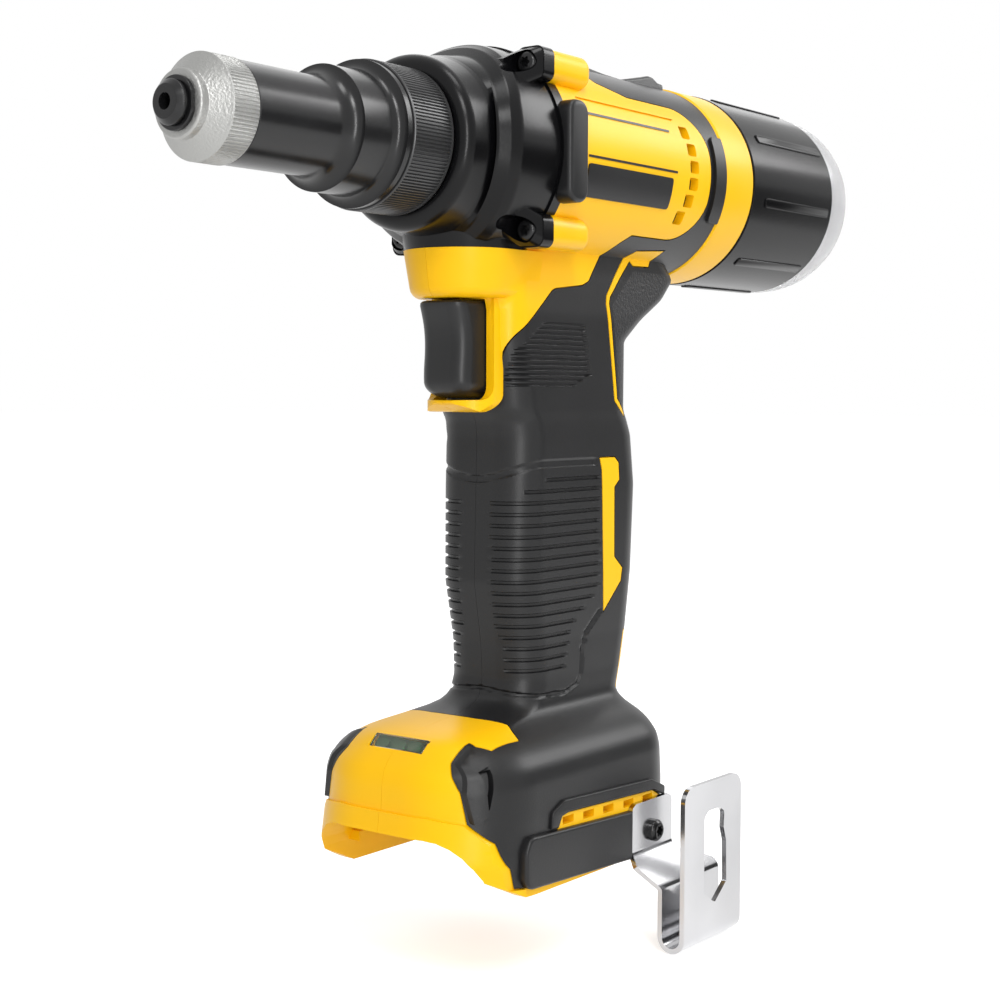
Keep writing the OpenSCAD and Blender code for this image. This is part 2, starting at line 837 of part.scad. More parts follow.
// The barrel of the left half as a solid, with its two screw bosses behind the gearcase ears
module half_barrel() {
    boss_len = 23;
    intersection() {
        union() {
            difference() {
                bar(x_seam, body_len, shell_r);
                intersection() {
                    tube(x_seam, body_len + 1, shell_r + 2, core_r - fit);
                    skin_zone();
                }
            }
            at_ears() {
                bar(x_seam, boss_len - ear_d / 2, ear_d / 2);
                translate([x_seam + boss_len - ear_d / 2, 0, 0])
                    sphere(r = ear_d / 2);
            }
        }
        left_half_space();
    }
}

// Room for the gearcase and its skirt over the trigger block
module gearcase_room() {
    bar(x_hub - 10, case_len + 10, case_d / 2 + fit);
    block([x_hub - 10, -60, block_top - fit], [x_seam, 60, 60]);
}

// Room for the rear ring over the tail of the grip
module ring_room() {
    bar(x_ring - fit, ring_len, ring_d / 2 + free);
}

module half_shell() {
    difference() {
        half_loft();
        skin_zone();
        gearcase_room();
    }
    difference() {
        half_loft(skin + fit);
        gearcase_room();
        ring_room();
    }
    difference() {
        intersection() {
            union() {
                translate([0, 0, block_low])
                    linear_extrude(block_top - block_low)
                        block_plan(x_seam + 10, 0);
                translate([neck_front - 6.2 + lip_r, 0, lip_low])
                    cylinder(h = 3.4, r = lip_r);
            }
            left_half_space();
        }
        gearcase_room();
    }
}

module half_housing() {
    cavity_hw = 12.2;
    color("gold")
        difference() {
            union() {
                half_barrel();
                half_shell();
                rail();
                hook_boss();
            }
            // Barrel bore, bulkhead bores and vents
            bar(x_seam - 1, x_bulkhead - x_seam + 1, barrel_r);
            bar(x_bulkhead - 1, bearing_len + 2.2, bearing_r + run);
            bar(x_bulkhead, body_len, tube_r + run);
            bar(x_bulkhead, bearing_len + 4, shaft_d / 2 + 1);
            for (v = panel_vents)
                block([v[0] - 2.4, -50, v[1] - 1.9], [v[0] + 2.4, -20, v[1] + 1.9]);
            at_ears()
                bar(x_seam - 1, 16, screw_r + run);
            // Room for the trigger, the switch, the electronics and the wiring
            block([neck_front - 20, -trigger_w / 2 - 0.4, lip_low + 3.4], [neck_front + 3, 1, block_low - 0.4]);
            block([neck_front + 2.6, -cavity_hw, lip_low + 2.6], [grip_back - 14, 1, block_low - 0.5]);
            block([x_seam + 11, -cavity_hw, -143], [grip_back - 14, 1, lip_low + 3]);
            block([x_seam + 16, -cavity_hw, -162], [grip_back - 14, 1, -142]);
            block([x_seam + 18, -8, block_low - 2], [grip_back - 14, 1, block_top + 2]);
            block([x_seam - 12, -foot_hw + 9, bay_top + 4], [foot_back - 16, 1, -176]);
            block([x_seam + 16, -11, -180], [foot_back - 16, 1, -160]);
            // Bay for the battery, open below and in front
            difference() {
                bay(0);
                rail();
                hook_boss();
            }
            block([x_seam + 8, -15.2, bay_top - 1], [foot_back - 14, 1, bay_top + 5]);
            light_room();
            tip_cut();
            // Holes for the hook screw and the housing screws
            cross_bar(hook_x, hook_z, -foot_hw - 5, foot_hw - bay_hw + 10, hook_screw_d / 2 + run);
            for (p = screw_places)
                cross_bar(p[0], p[1], -9.5, 11, screw_r + run);
        }
}

// Room for the battery, open below and arched at its front, grown by d
module bay(d) {
    mouth_x = foot_front + 21;
    translate([mouth_x, 0, 0])
        rotate([90, 0, 90])
            linear_extrude(bay_back + d - mouth_x)
                round_rect([-bay_hw - d, -foot_drop - 30], [bay_hw + d, bay_top + d], 7);
    translate([foot_front - 20, 0, 0])
        rotate([90, 0, 90])
            linear_extrude(mouth_x + 1 - foot_front + 20)
                round_rect([-bay_hw - d, -foot_drop - 30], [bay_hw + d, bay_top - 2 + d], 15);
}

// Slanting cut under the front tips of the foot
module tip_cut() {
    side_plate(-60, 60)
        polygon([[foot_front - 20, -foot_drop - 10], [foot_front - 20, -202], [foot_front - 2, -203],
            [foot_front + 22, -foot_drop], [foot_front + 23, -foot_drop - 10]]);
}

// Rail that the battery slides on
module rail() {
    block([foot_front + 19, -bay_hw - 1, -207], [hook_x - 12, -bay_hw + 5, -204]);
}

// Boss that takes the hook screw's thread
module hook_boss() {
    cross_bar(hook_x, hook_z, -bay_hw - 1, 4, 5);
}

// Middle of the work light window, on the sloping edge over the foot's front
light_x = foot_front + 7;
light_z = -171.2;

module light_room() {
    translate([light_x, 0, light_z])
        rotate([0, -45, 0])
            block([-2.6, -10.2, -9], [2.6, 10.2, 3]);
}

// Places of the housing screws, in X and Z
screw_places = [
    [x_seam + 6.5, -84], [x_seam + 10.5, -152], [grip_back - 9.6, -62], [grip_back - 9.6, -112],
    [x_seam - 17, -183], [foot_back - 11, -183], [x_bulkhead + 9, 20], [x_bulkhead + 9, -20]
];
screw_head_y = 11;

module housing_screws() {
    color([0.12, 0.12, 0.12])
        for (p = screw_places)
            difference() {
                union() {
                    cross_bar(p[0], p[1], -9, screw_head_y + 9, screw_r);
                    cross_bar(p[0], p[1], screw_head_y - 2.5, 2.5, screw_head_r - 0.2);
                }
                translate([p[0], screw_head_y - 1.5, p[1]])
                    rotate([-90, 0, 0])
                        cylinder(h = 3, r = screw_head_r * 0.5, $fn = 6);
            }
}

// Counterbores of the housing screws, from the right side
module screw_wells() {
    for (p = screw_places) {
        cross_bar(p[0], p[1], -1, 12, screw_r + fit);
        cross_bar(p[0], p[1], screw_head_y - 2.6, 60, screw_head_r);
    }
}

module left_housing() {
    half_housing();
}

module right_housing() {
    difference() {
        mirror([0, 1, 0])
            half_housing();
        screw_wells();
    }
}

module half_grip() {
    color([0.2, 0.2, 0.21])
        difference() {
            intersection() {
                difference() {
                    union() {
                        half_loft();
                        tube(x_seam, body_len, shell_r, core_r);
                        side_block();
                    }
                    half_loft(skin);
                }
                skin_zone();
                left_half_space();
            }
            bar(x_seam - 1, body_len + 1, core_r);
            bumper_room(fit);
            ring_room();
            at_ears()
                bar(x_seam, 24, ear_d / 2 + fit);
            bay(0.5);
            tip_cut();
            cross_bar(hook_x, hook_z, -foot_hw - 5, foot_hw - bay_hw + 10, hook_screw_d / 2 + 0.5);
        }
}

// Thicker lower block of the foot's side, in front of the hook
module side_block() {
    side_plate(-foot_hw - 2, -foot_hw + skin)
        round_rect([x_seam - 24, -foot_drop], [hook_x - 12, -197], 6);
}

module left_grip() {
    half_grip();
}

module right_grip() {
    difference() {
        mirror([0, 1, 0])
            half_grip();
        screw_wells();
    }
}

module side_bumper() {
    color([0.22, 0.22, 0.23])
        difference() {
            side_plate(-shell_r - 2.4, -shell_r + 6)
                round_rect([x_seam + 0.3, -15.5], [x_seam + 10, 14], 4);
            bar(x_seam - 1, 20, shell_r + fit);
            at_ears()
                bar(x_seam - 1, 20, ear_d / 2 + free);
        }
}

module left_bumper() { side_bumper(); }

module right_bumper() {
    mirror([0, 1, 0])
        side_bumper();
}

// Cut-out in the skin for the top bumper, grown by d
module bumper_room(d) {
    block([x_ring - 49.5 - d, -bumper_hw - d, core_r - 8], [x_ring - 5.5 + d, bumper_hw + d, shell_r + 10]);
}

bumper_hw = 11;

module top_bumper() {
    color([0.17, 0.17, 0.18])
        intersection() {
            bumper_room(0);
            difference() {
                side_plate(-bumper_hw, bumper_hw)
                    polygon([[x_ring - 51.5, core_r - 8], [x_ring - 51.5, core_r + 1.6], [x_ring - 39.5, core_r + 0.5],
                        [x_ring - 30.5, core_r + 0.3], [x_ring - 17.5, shell_r + 0.7], [x_ring - 13.5, shell_r + 1.7],
                        [x_ring - 11, shell_r + 1.5], [x_ring - 8, shell_r + 0.1],
                        [x_ring - 1.5, shell_r], [x_ring - 1.5, core_r - 8]]);
                bar(x_seam, body_len, core_r);
            }
        }
}

module side_label() {
    color([0.15, 0.15, 0.16])
        intersection() {
            tube(x_seam, body_len, shell_r + 0.5, shell_r + run);
            block([x_seam + 13, -60, -12.8], [x_ring - 32, 0, -3.2]);
        }
}

module left_label() { side_label(); }

module right_label() {
    mirror([0, 1, 0])
        side_label();
}

// Ring and container

module rear_ring() {
    groove_x = x_container + 4;
    color("gold")
        difference() {
            union() {
                bar(x_ring, ring_len - free, ring_d / 2);
                bar(x_ring, ring_len + seat_len, seat_r);
            }
            bar(x_ring + 4, ring_len + seat_len, ring_bore_r);
            bar(x_ring - 1, 6, tube_r + fit);
            tube(groove_x, 2 * seal_r + 0.4, seat_r + 1, seat_r - 1.5);
        }
}

module container_seal() {
    color([0.05, 0.05, 0.05])
        translate([x_container + 4 + seal_r + 0.2, 0, 0])
            rotate([0, 90, 0])
                rotate_extrude($fn = 96)
                    translate([seat_r - 1.5 + seal_r + 0.02, 0])
                        circle(seal_r, $fn = 32);
}

module mandrel_container() {
    inner_r = container_d / 2 - container_wall;
    corner = 20;
    flat_r = container_d / 2 - 9;
    rib_len = 46;
    color([0.25, 0.25, 0.27])
        union() {
            turned(concat(
                [[inner_r, x_container], [container_d / 2, x_container]],
                [for (a = [0:15:90]) [flat_r + 9 * cos(a), x_end - corner + corner * sin(a)]],
                [[15, x_end], [14.5, x_end + 3.5], [0, x_end + 3.5], [0, x_end - container_wall]],
                [for (a = [90:-15:0]) [flat_r + (9 - container_wall) * cos(a),
                    x_end - corner + (corner - container_wall) * sin(a)]]));
            for (k = [0:container_ribs - 1])
                rotate([360 / container_ribs * k + 20, 0, 0])
                    block([x_container + 8, -1.7, container_d / 2 - 1],
                        [x_container + 8 + min(rib_len, container_len - 30), 1.7, container_d / 2 + 0.5]);
        }
}

// Trigger and electronics

trigger_front = neck_front - 10.8;
trigger_back = neck_front + 5;
trigger_top = block_low - 1;
trigger_low = lip_low + 4.2;

module trigger() {
    color([0.16, 0.16, 0.17])
        union() {
            intersection() {
                side_plate(-trigger_w / 2, trigger_w / 2)
                    polygon([[trigger_front - 3.5, trigger_top], [trigger_back, trigger_top],
                        [trigger_back, trigger_low], [trigger_front + 5, trigger_low],
                        [trigger_front + 0.8, trigger_low + 2.6], [trigger_front - 0.4, trigger_low + 6],
                        [trigger_front, trigger_low + 14], [trigger_front - 0.8, trigger_top - 5]]);
                translate([0, 0, trigger_low - 5])
                    linear_extrude(trigger_top - trigger_low + 10)
                        round_rect([trigger_front - 4, -trigger_w / 2], [trigger_back + 10, trigger_w / 2], 6);
            }
            block([trigger_back - 2.1, -trigger_w / 2 - 2.4, trigger_low + 1],
                [trigger_back, trigger_w / 2 + 2.4, trigger_top - 1]);
        }
}

switch_x = trigger_back + trigger_travel + 3.5;
spring_z = -58;

module trigger_spring() {
    color("silver")
        translate([0, 0, spring_z])
            coil_spring(trigger_back + 0.6, switch_x - trigger_back - 1.2, 5, 0.45, 4);
}

module trigger_switch() {
    color([0.3, 0.3, 0.32])
        union() {
            block([switch_x, -11.8, lip_low + 5], [switch_x + 28, 11.8, block_low - 2]);
            bar(switch_x - 2.9, 4, 2.5, 0, spring_z);
        }
}

module control_module() {
    color([0.2, 0.25, 0.3])
        block([x_seam + 12, -11.8, -140], [grip_back - 15, 11.8, -84]);
}

module terminal_block() {
    color([0.12, 0.12, 0.13])
        union() {
            block([x_seam + 8.4, -14.8, bay_top - 12], [foot_back - 14.4, 14.8, bay_top + 4.2]);
            block([x_seam + 4, -20, bay_top + 4.2], [foot_back - 16.4, 20, bay_top + 7]);
        }
}

module terminals() {
    color("goldenrod")
        for (y = [-9, -3, 3, 9])
            block([x_seam + 2, y - 0.4, bay_top - 10], [x_seam + 8.4, y + 0.4, bay_top - 3]);
}

module light_lens() {
    color([0.8, 0.8, 0.75])
        translate([light_x, 0, light_z])
            rotate([0, -45, 0])
                block([-2.4, -10, -2.4], [2.4, 10, 0]);
}

module light_board() {
    color("darkgreen")
        translate([light_x, 0, light_z])
            rotate([0, -45, 0])
                union() {
                    block([-2.4, -10, -5.4], [2.4, 10, -3.8]);
                    for (y = [-6, 0, 6])
                        translate([0, y, -3.9])
                            cylinder(h = 1.2, r = 1.5);
                }
}

module wire(x, y, z_low, z_high, r) {
    translate([x, y, z_low])
        cylinder(h = z_high - z_low, r = r);
}

module wiring() {
    color("firebrick") {
        for (y = [-3.5, 0, 3.5])
            wire(x_stack + stack_len + 2.3, y, -83.8, -27.5, 1.1);
        for (y = [-4, 4])
            wire(x_seam + 26, y, bay_top + 7.2, -140.2, 1.5);
        for (y = [-3, 3])
            wire(x_seam + 26, y, -83.8, lip_low + 4.8, 0.9);
    }
}

// Belt hook

hook_x = x_seam + 42.3;
hook_z = -206.8;
leg_y = -foot_hw - fit;
plate_y = leg_y - hook_t - belt_gap;
plate_x = hook_x - 7.4;
bend_z = -237.4;
bend_r = 3.2;
bend_y = plate_y + bend_r;
strip_y = bend_y + bend_r;

module belt_hook() {
    plate_top = -190.6;
    color("silver")
        difference() {
            union() {
                // Leg screwed to the foot
                block([hook_x - 11.5, leg_y - hook_t, -213], [hook_x + 11, leg_y, -197]);
                // Slanting neck, which widens to the strip below
                intersection() {
                    translate([plate_x - 10, 0, 0])
                        rotate([90, 0, 90])
                            linear_extrude(hook_w + 20)
                                polygon([[leg_y, -212.5], [leg_y - hook_t, -212.5], [strip_y, -222.6],
                                    [strip_y, bend_z], [strip_y + hook_t, bend_z], [strip_y + hook_t, -222]]);
                    side_plate(-90, 0)
                        polygon([[hook_x - 11.5, -212], [hook_x + 11, -212], [hook_x + 11, -214],
                            [plate_x + hook_w, -220], [plate_x + hook_w, bend_z], [plate_x, bend_z],
                            [plate_x, -223], [hook_x - 13, -216]]);
                }
                // Round bend under the belt
                intersection() {
                    difference() {
                        bar(plate_x, hook_w, bend_r + hook_t, bend_y, bend_z);
                        bar(plate_x - 1, hook_w + 2, bend_r, bend_y, bend_z);
                    }
                    block([plate_x - 1, bend_y - 10, bend_z - 10], [plate_x + hook_w + 1, bend_y + 10, bend_z]);
                }
                // Outer plate
                side_plate(plate_y - hook_t, plate_y)
                    difference() {
                        union() {
                            round_rect([plate_x, bend_z - 6], [plate_x + hook_w, plate_top], 5);
                        }
                        translate([plate_x - 1, bend_z - 10])
                            square([hook_w + 2, 10]);
                        translate([hook_x + 4.2, -229.5])
                            polygon([[0, 4.5], [0, 28], [2.4, 29.8], [9, 29.8], [12, 28], [11.6, 23],
                                [13.2, 18.5], [13.6, 5.5], [6.4, 0]]);
                    }
            }
            cross_bar(hook_x, hook_z, leg_y - 5, 10, hook_screw_d / 2 + 0.3);
        }
}

module hook_screw() {
    head_y = leg_y - hook_t;
    color([0.15, 0.15, 0.15])
        difference() {
            union() {
                cross_bar(hook_x, hook_z, head_y - 2.6, 2.6, 3.4);
                cross_bar(hook_x, hook_z, head_y, hook_t + foot_hw - bay_hw + 2, hook_screw_d / 2);
            }
            translate([hook_x, head_y - 3, hook_z])
                rotate([-90, 0, 0])
                    cylinder(h = 2, r = 1.7, $fn = 6);
        }
}

nosepiece();
nose_cap();
nose_sleeve();
lock_collar();
gearcase();
gearcase_screws();
jaw_case();
jaw_1();
jaw_2();
jaw_3();
jaw_pusher();
jaw_spring();
pull_rod();
spindle();
thrust_bearing();
nut_bearing();
ball_nut();
planet_carrier();
planet_pins();
planet_gear_1();
planet_gear_2();
planet_gear_3();
ring_gear();
sun_gear();
motor_bracket();
front_bearing();
stator_core();
stator_coils();
rotor_core();
rotor_magnets();
rotor_shaft();
sensor_board();
fan();
rear_bearing();
mandrel_tube();
left_housing();
right_housing();
left_grip();
right_grip();
left_bumper();
right_bumper();
top_bumper();
left_label();
right_label();
housing_screws();
rear_ring();
container_seal();
mandrel_container();
trigger();
trigger_spring();
trigger_switch();
control_module();
terminal_block();
terminals();
light_lens();
light_board();
wiring();
belt_hook();
hook_screw();
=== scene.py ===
# %% [markdown]
# # A battery rivet tool, dressed in Blender
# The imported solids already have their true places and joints. This lesson builds the surfaces that the
# eye meets: turned nose parts, a cast gearcase, a two-colour moulded body, a smoked container and a bent
# hook. Everything is drawn in millimetres in the solids' own frame, so no piece has to be fitted
# afterwards.

# %% Load the frame
import json
from math import atan2, copysign, cos, hypot, pi, radians, sin, sqrt, tan

import bmesh
import bpy
import numpy as np
from mathutils import Matrix, Vector


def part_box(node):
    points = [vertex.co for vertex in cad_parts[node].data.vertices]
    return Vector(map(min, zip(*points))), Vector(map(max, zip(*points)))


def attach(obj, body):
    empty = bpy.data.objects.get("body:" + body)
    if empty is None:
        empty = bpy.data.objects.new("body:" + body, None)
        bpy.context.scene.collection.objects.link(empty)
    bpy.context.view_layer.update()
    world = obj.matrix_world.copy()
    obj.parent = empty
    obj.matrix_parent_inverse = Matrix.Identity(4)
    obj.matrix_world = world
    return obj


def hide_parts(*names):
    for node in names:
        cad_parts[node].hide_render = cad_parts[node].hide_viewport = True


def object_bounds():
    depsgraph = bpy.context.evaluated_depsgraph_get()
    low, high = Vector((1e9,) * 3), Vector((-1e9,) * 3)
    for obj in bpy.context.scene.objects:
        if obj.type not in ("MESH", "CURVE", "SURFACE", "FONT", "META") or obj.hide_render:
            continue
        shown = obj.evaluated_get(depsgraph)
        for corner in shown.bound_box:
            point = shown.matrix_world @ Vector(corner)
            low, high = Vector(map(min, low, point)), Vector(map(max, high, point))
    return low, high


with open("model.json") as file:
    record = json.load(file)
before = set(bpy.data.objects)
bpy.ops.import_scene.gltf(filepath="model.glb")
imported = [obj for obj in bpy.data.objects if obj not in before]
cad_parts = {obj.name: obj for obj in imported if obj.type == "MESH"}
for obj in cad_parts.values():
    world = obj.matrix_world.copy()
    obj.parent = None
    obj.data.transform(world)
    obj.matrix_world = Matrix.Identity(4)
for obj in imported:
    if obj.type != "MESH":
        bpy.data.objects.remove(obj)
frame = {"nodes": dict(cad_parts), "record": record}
cad_low, cad_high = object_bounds()
MM = 0.001
print("solids loaded:", len(frame["nodes"]))
print("box in mm:", [round(v / MM, 1) for v in list(cad_low) + list(cad_high)])

# %% [markdown]
# ## Camera
# The photograph was taken from the front left of the tool, a little above the middle of the grip. The
# camera's three directions were solved from points that can be named on both the picture and the solids.

# %% Camera
right = Vector((0.61070179, -0.79185811, 0.00201408))
down = Vector((-0.04765228, -0.03928932, -0.99809098))
ahead = Vector((0.79042557, 0.60943997, -0.0617279))
eye = Vector((-287.2176, -324.7753, -70.7397)) * MM
camera_data = bpy.data.cameras.new("camera")
camera_data.lens = 62.275
camera_data.sensor_width = 36.0
camera_data.sensor_fit = "HORIZONTAL"
camera_data.clip_start = 0.02
camera_data.clip_end = 30.0
camera = bpy.data.objects.new("camera", camera_data)
camera.matrix_world = Matrix((
    (right.x, -down.x, -ahead.x, eye.x),
    (right.y, -down.y, -ahead.y, eye.y),
    (right.z, -down.z, -ahead.z, eye.z),
    (0, 0, 0, 1),
))
bpy.context.scene.collection.objects.link(camera)
bpy.context.scene.camera = camera
print("camera stands", round(eye.length, 3), "m from the nose")

# %% [markdown]
# ## Studio
# A pale floor, a white surround and five soft boxes. The surround is white for the camera and for
# reflections only, and dimmer as a light, so that the lamps can still shape the object. A dark cloth
# stands beside the set for reflections alone, as a photographer's flag does, because polished steel in an
# all-white room has no shape.

# %% Studio
scene = bpy.context.scene
scene.view_settings.view_transform = "Standard"
world = bpy.data.worlds.new("surround")
scene.world = world
world.use_nodes = True
background = world.node_tree.nodes["Background"]
background.inputs["Color"].default_value = (1, 1, 1, 1)


def by_sight(tree, unseen, seen, socket):
    """Drives a socket with one value for rays that show a thing and another for rays that only light it."""
    rays = tree.nodes.new("ShaderNodeLightPath")
    last = rays.outputs["Is Camera Ray"]
    for kind in ("Is Glossy Ray", "Is Transmission Ray"):
        either = tree.nodes.new("ShaderNodeMath")
        either.operation = "MAXIMUM"
        tree.links.new(last, either.inputs[0])
        tree.links.new(rays.outputs[kind], either.inputs[1])
        last = either.outputs[0]
    strength = tree.nodes.new("ShaderNodeMapRange")
    strength.inputs["To Min"].default_value = unseen
    strength.inputs["To Max"].default_value = seen
    tree.links.new(last, strength.inputs["Value"])
    tree.links.new(strength.outputs[0], socket)


by_sight(world.node_tree, 0.45, 1.0, background.inputs["Strength"])

# %% Lamps
MIDDLE = Vector((0.15, 0, -0.1))


def soft_box(name, place, wide, tall, watts):
    """A lamp of wide by tall metres at place that looks at the tool's middle."""
    data = bpy.data.lights.new(name, "AREA")
    data.shape = "RECTANGLE"
    data.size = wide
    data.size_y = tall
    data.energy = watts
    lamp = bpy.data.objects.new(name, data)
    lamp.location = place
    lamp.rotation_euler = (MIDDLE - Vector(place)).to_track_quat("-Z", "Y").to_euler()
    scene.collection.objects.link(lamp)


soft_box("key_box", (-0.5, -0.75, 0.8), 0.34, 0.34, 5.9)
soft_box("side_box", (-0.55, -0.85, 0.0), 0.1, 0.9, 6.0)
soft_box("top_box", (0.1, -0.3, 1.1), 0.4, 0.4, 3.4)
soft_box("rim_box", (1.0, 0.5, 0.65), 0.6, 0.8, 1.2)
soft_box("fill_box", (1.05, -0.52, 0.55), 0.44, 0.44, 4.2)


# %% Stage pieces
def moved(shape, way):
    """A shape after a shift."""
    bmesh.ops.translate(shape, vec=way, verts=shape.verts)
    return shape


def turned(shape, angle, axis):
    """A shape after a turn about one of the frame's axes."""
    bmesh.ops.rotate(shape, cent=(0, 0, 0), matrix=Matrix.Rotation(angle, 3, axis), verts=shape.verts)
    return shape


def stage_sheet(name, shape, grey):
    """A dull sheet of the studio, with its shader."""
    cloth = bpy.data.materials.new(name)
    cloth.use_nodes = True
    shader = cloth.node_tree.nodes["Principled BSDF"]
    shader.inputs["Base Color"].default_value = (grey, grey, grey, 1)
    shader.inputs["Roughness"].default_value = 0.9
    mesh = bpy.data.meshes.new(name)
    shape.to_mesh(mesh)
    mesh.materials.append(cloth)
    thing = bpy.data.objects.new(name, mesh)
    scene.collection.objects.link(thing)
    return thing, shader


flag = bmesh.new()
bmesh.ops.create_grid(flag, x_segments=4, y_segments=4, size=0.5)
bmesh.ops.scale(flag, vec=(0.55, 0.42, 1), verts=flag.verts)
flag = moved(turned(turned(flag, pi / 2, "X"), radians(50), "Z"), (0.85, -0.62, -0.12))
dark_flag, flag_shader = stage_sheet("dark_flag", flag, 0.04)
dark_flag.visible_camera = False
dark_flag.visible_diffuse = False
dark_flag.visible_shadow = False
dark_flag.visible_transmission = False
print("the flag is a card for reflections only")

# %% [markdown]
# ## Shared surface effects
# Moulded plastic is never one colour: the mould leaves a fine grain, and the tone drifts a little over a
# hand's width. Turned metal carries rings from the lathe. Both effects are node groups, built once, and
# each finish below places one of them with its own values.


# %% Surface groups
def new_group(name, numbers, outputs):
    """An empty shader group with a Vector input, number inputs and value outputs."""
    group = bpy.data.node_groups.new(name, "ShaderNodeTree")
    group.interface.new_socket("Vector", in_out="INPUT", socket_type="NodeSocketVector")
    for label, value in numbers:
        socket = group.interface.new_socket(label, in_out="INPUT", socket_type="NodeSocketFloat")
        socket.default_value = value
    for label in outputs:
        group.interface.new_socket(label, in_out="OUTPUT", socket_type="NodeSocketFloat")
    start = group.nodes.new("NodeGroupInput")
    end = group.nodes.new("NodeGroupOutput")
    return group, start, end


def noise_in(group, start, scale_socket, share, detail):
    """A noise texture whose scale is a share of a group input."""
    texture = group.nodes.new("ShaderNodeTexNoise")
    times = group.nodes.new("ShaderNodeMath")
    times.operation = "MULTIPLY"
    times.inputs[1].default_value = share
    texture.inputs["Detail"].default_value = detail
    group.links.new(start.outputs[scale_socket], times.inputs[0])
    group.links.new(times.outputs[0], texture.inputs["Scale"])
    group.links.new(start.outputs["Vector"], texture.inputs["Vector"])
    return texture


moulded, start, end = new_group("moulded_grain", [("Scale", 2600.0)], ["Height", "Tone"])
grain = noise_in(moulded, start, "Scale", 1.0, 2.0)
drift = noise_in(moulded, start, "Scale", 0.012, 4.0)
moulded.links.new(grain.outputs["Fac"], end.inputs["Height"])
moulded.links.new(drift.outputs["Fac"], end.inputs["Tone"])

lathe, start, end = new_group("lathe_rings", [("Scale", 900.0)], ["Height", "Tone"])
stretch = lathe.nodes.new("ShaderNodeMapping")
stretch.inputs["Scale"].default_value = (1.0, 0.015, 0.015)
rings = lathe.nodes.new("ShaderNodeTexNoise")
rings.inputs["Detail"].default_value = 3.0
lathe.links.new(start.outputs["Vector"], stretch.inputs["Vector"])
lathe.links.new(stretch.outputs[0], rings.inputs["Vector"])
lathe.links.new(start.outputs["Scale"], rings.inputs["Scale"])
cloud = noise_in(lathe, start, "Scale", 0.05, 3.0)
lathe.links.new(rings.outputs["Fac"], end.inputs["Height"])
lathe.links.new(cloud.outputs["Fac"], end.inputs["Tone"])
print("surface groups:", [g.name for g in bpy.data.node_groups])


# %% Finishes
def finish(
    name, colour, rough, metal=0.0, effect=moulded, scale=2600.0, depth=0.03, tone=0.1, spread=0.06, **plain
):
    """A procedural material: an effect group drives colour, roughness and bump. Depth is in mm."""
    material = bpy.data.materials.new(name)
    material.use_nodes = True
    nodes = material.node_tree.nodes
    links = material.node_tree.links
    shader = nodes["Principled BSDF"]
    shader.inputs["Metallic"].default_value = metal
    for label, value in plain.items():
        shader.inputs[label.replace("_", " ")].default_value = value
    place = nodes.new("ShaderNodeTexCoord")
    group = nodes.new("ShaderNodeGroup")
    group.node_tree = effect
    group.inputs["Scale"].default_value = scale
    links.new(place.outputs["Object"], group.inputs["Vector"])
    bump = nodes.new("ShaderNodeBump")
    bump.inputs["Strength"].default_value = 0.6
    bump.inputs["Distance"].default_value = depth * MM
    links.new(group.outputs["Height"], bump.inputs["Height"])
    links.new(bump.outputs["Normal"], shader.inputs["Normal"])
    tint = nodes.new("ShaderNodeMix")
    tint.data_type = "RGBA"
    tint.inputs["A"].default_value = [c * (1 - tone) for c in colour] + [1]
    tint.inputs["B"].default_value = [min(1, c * (1 + tone)) for c in colour] + [1]
    links.new(group.outputs["Tone"], tint.inputs["Factor"])
    links.new(tint.outputs["Result"], shader.inputs["Base Color"])
    gloss = nodes.new("ShaderNodeMapRange")
    gloss.inputs["To Min"].default_value = rough - spread
    gloss.inputs["To Max"].default_value = rough + spread
    links.new(group.outputs["Tone"], gloss.inputs["Value"])
    links.new(gloss.outputs[0], shader.inputs["Roughness"])
    return material


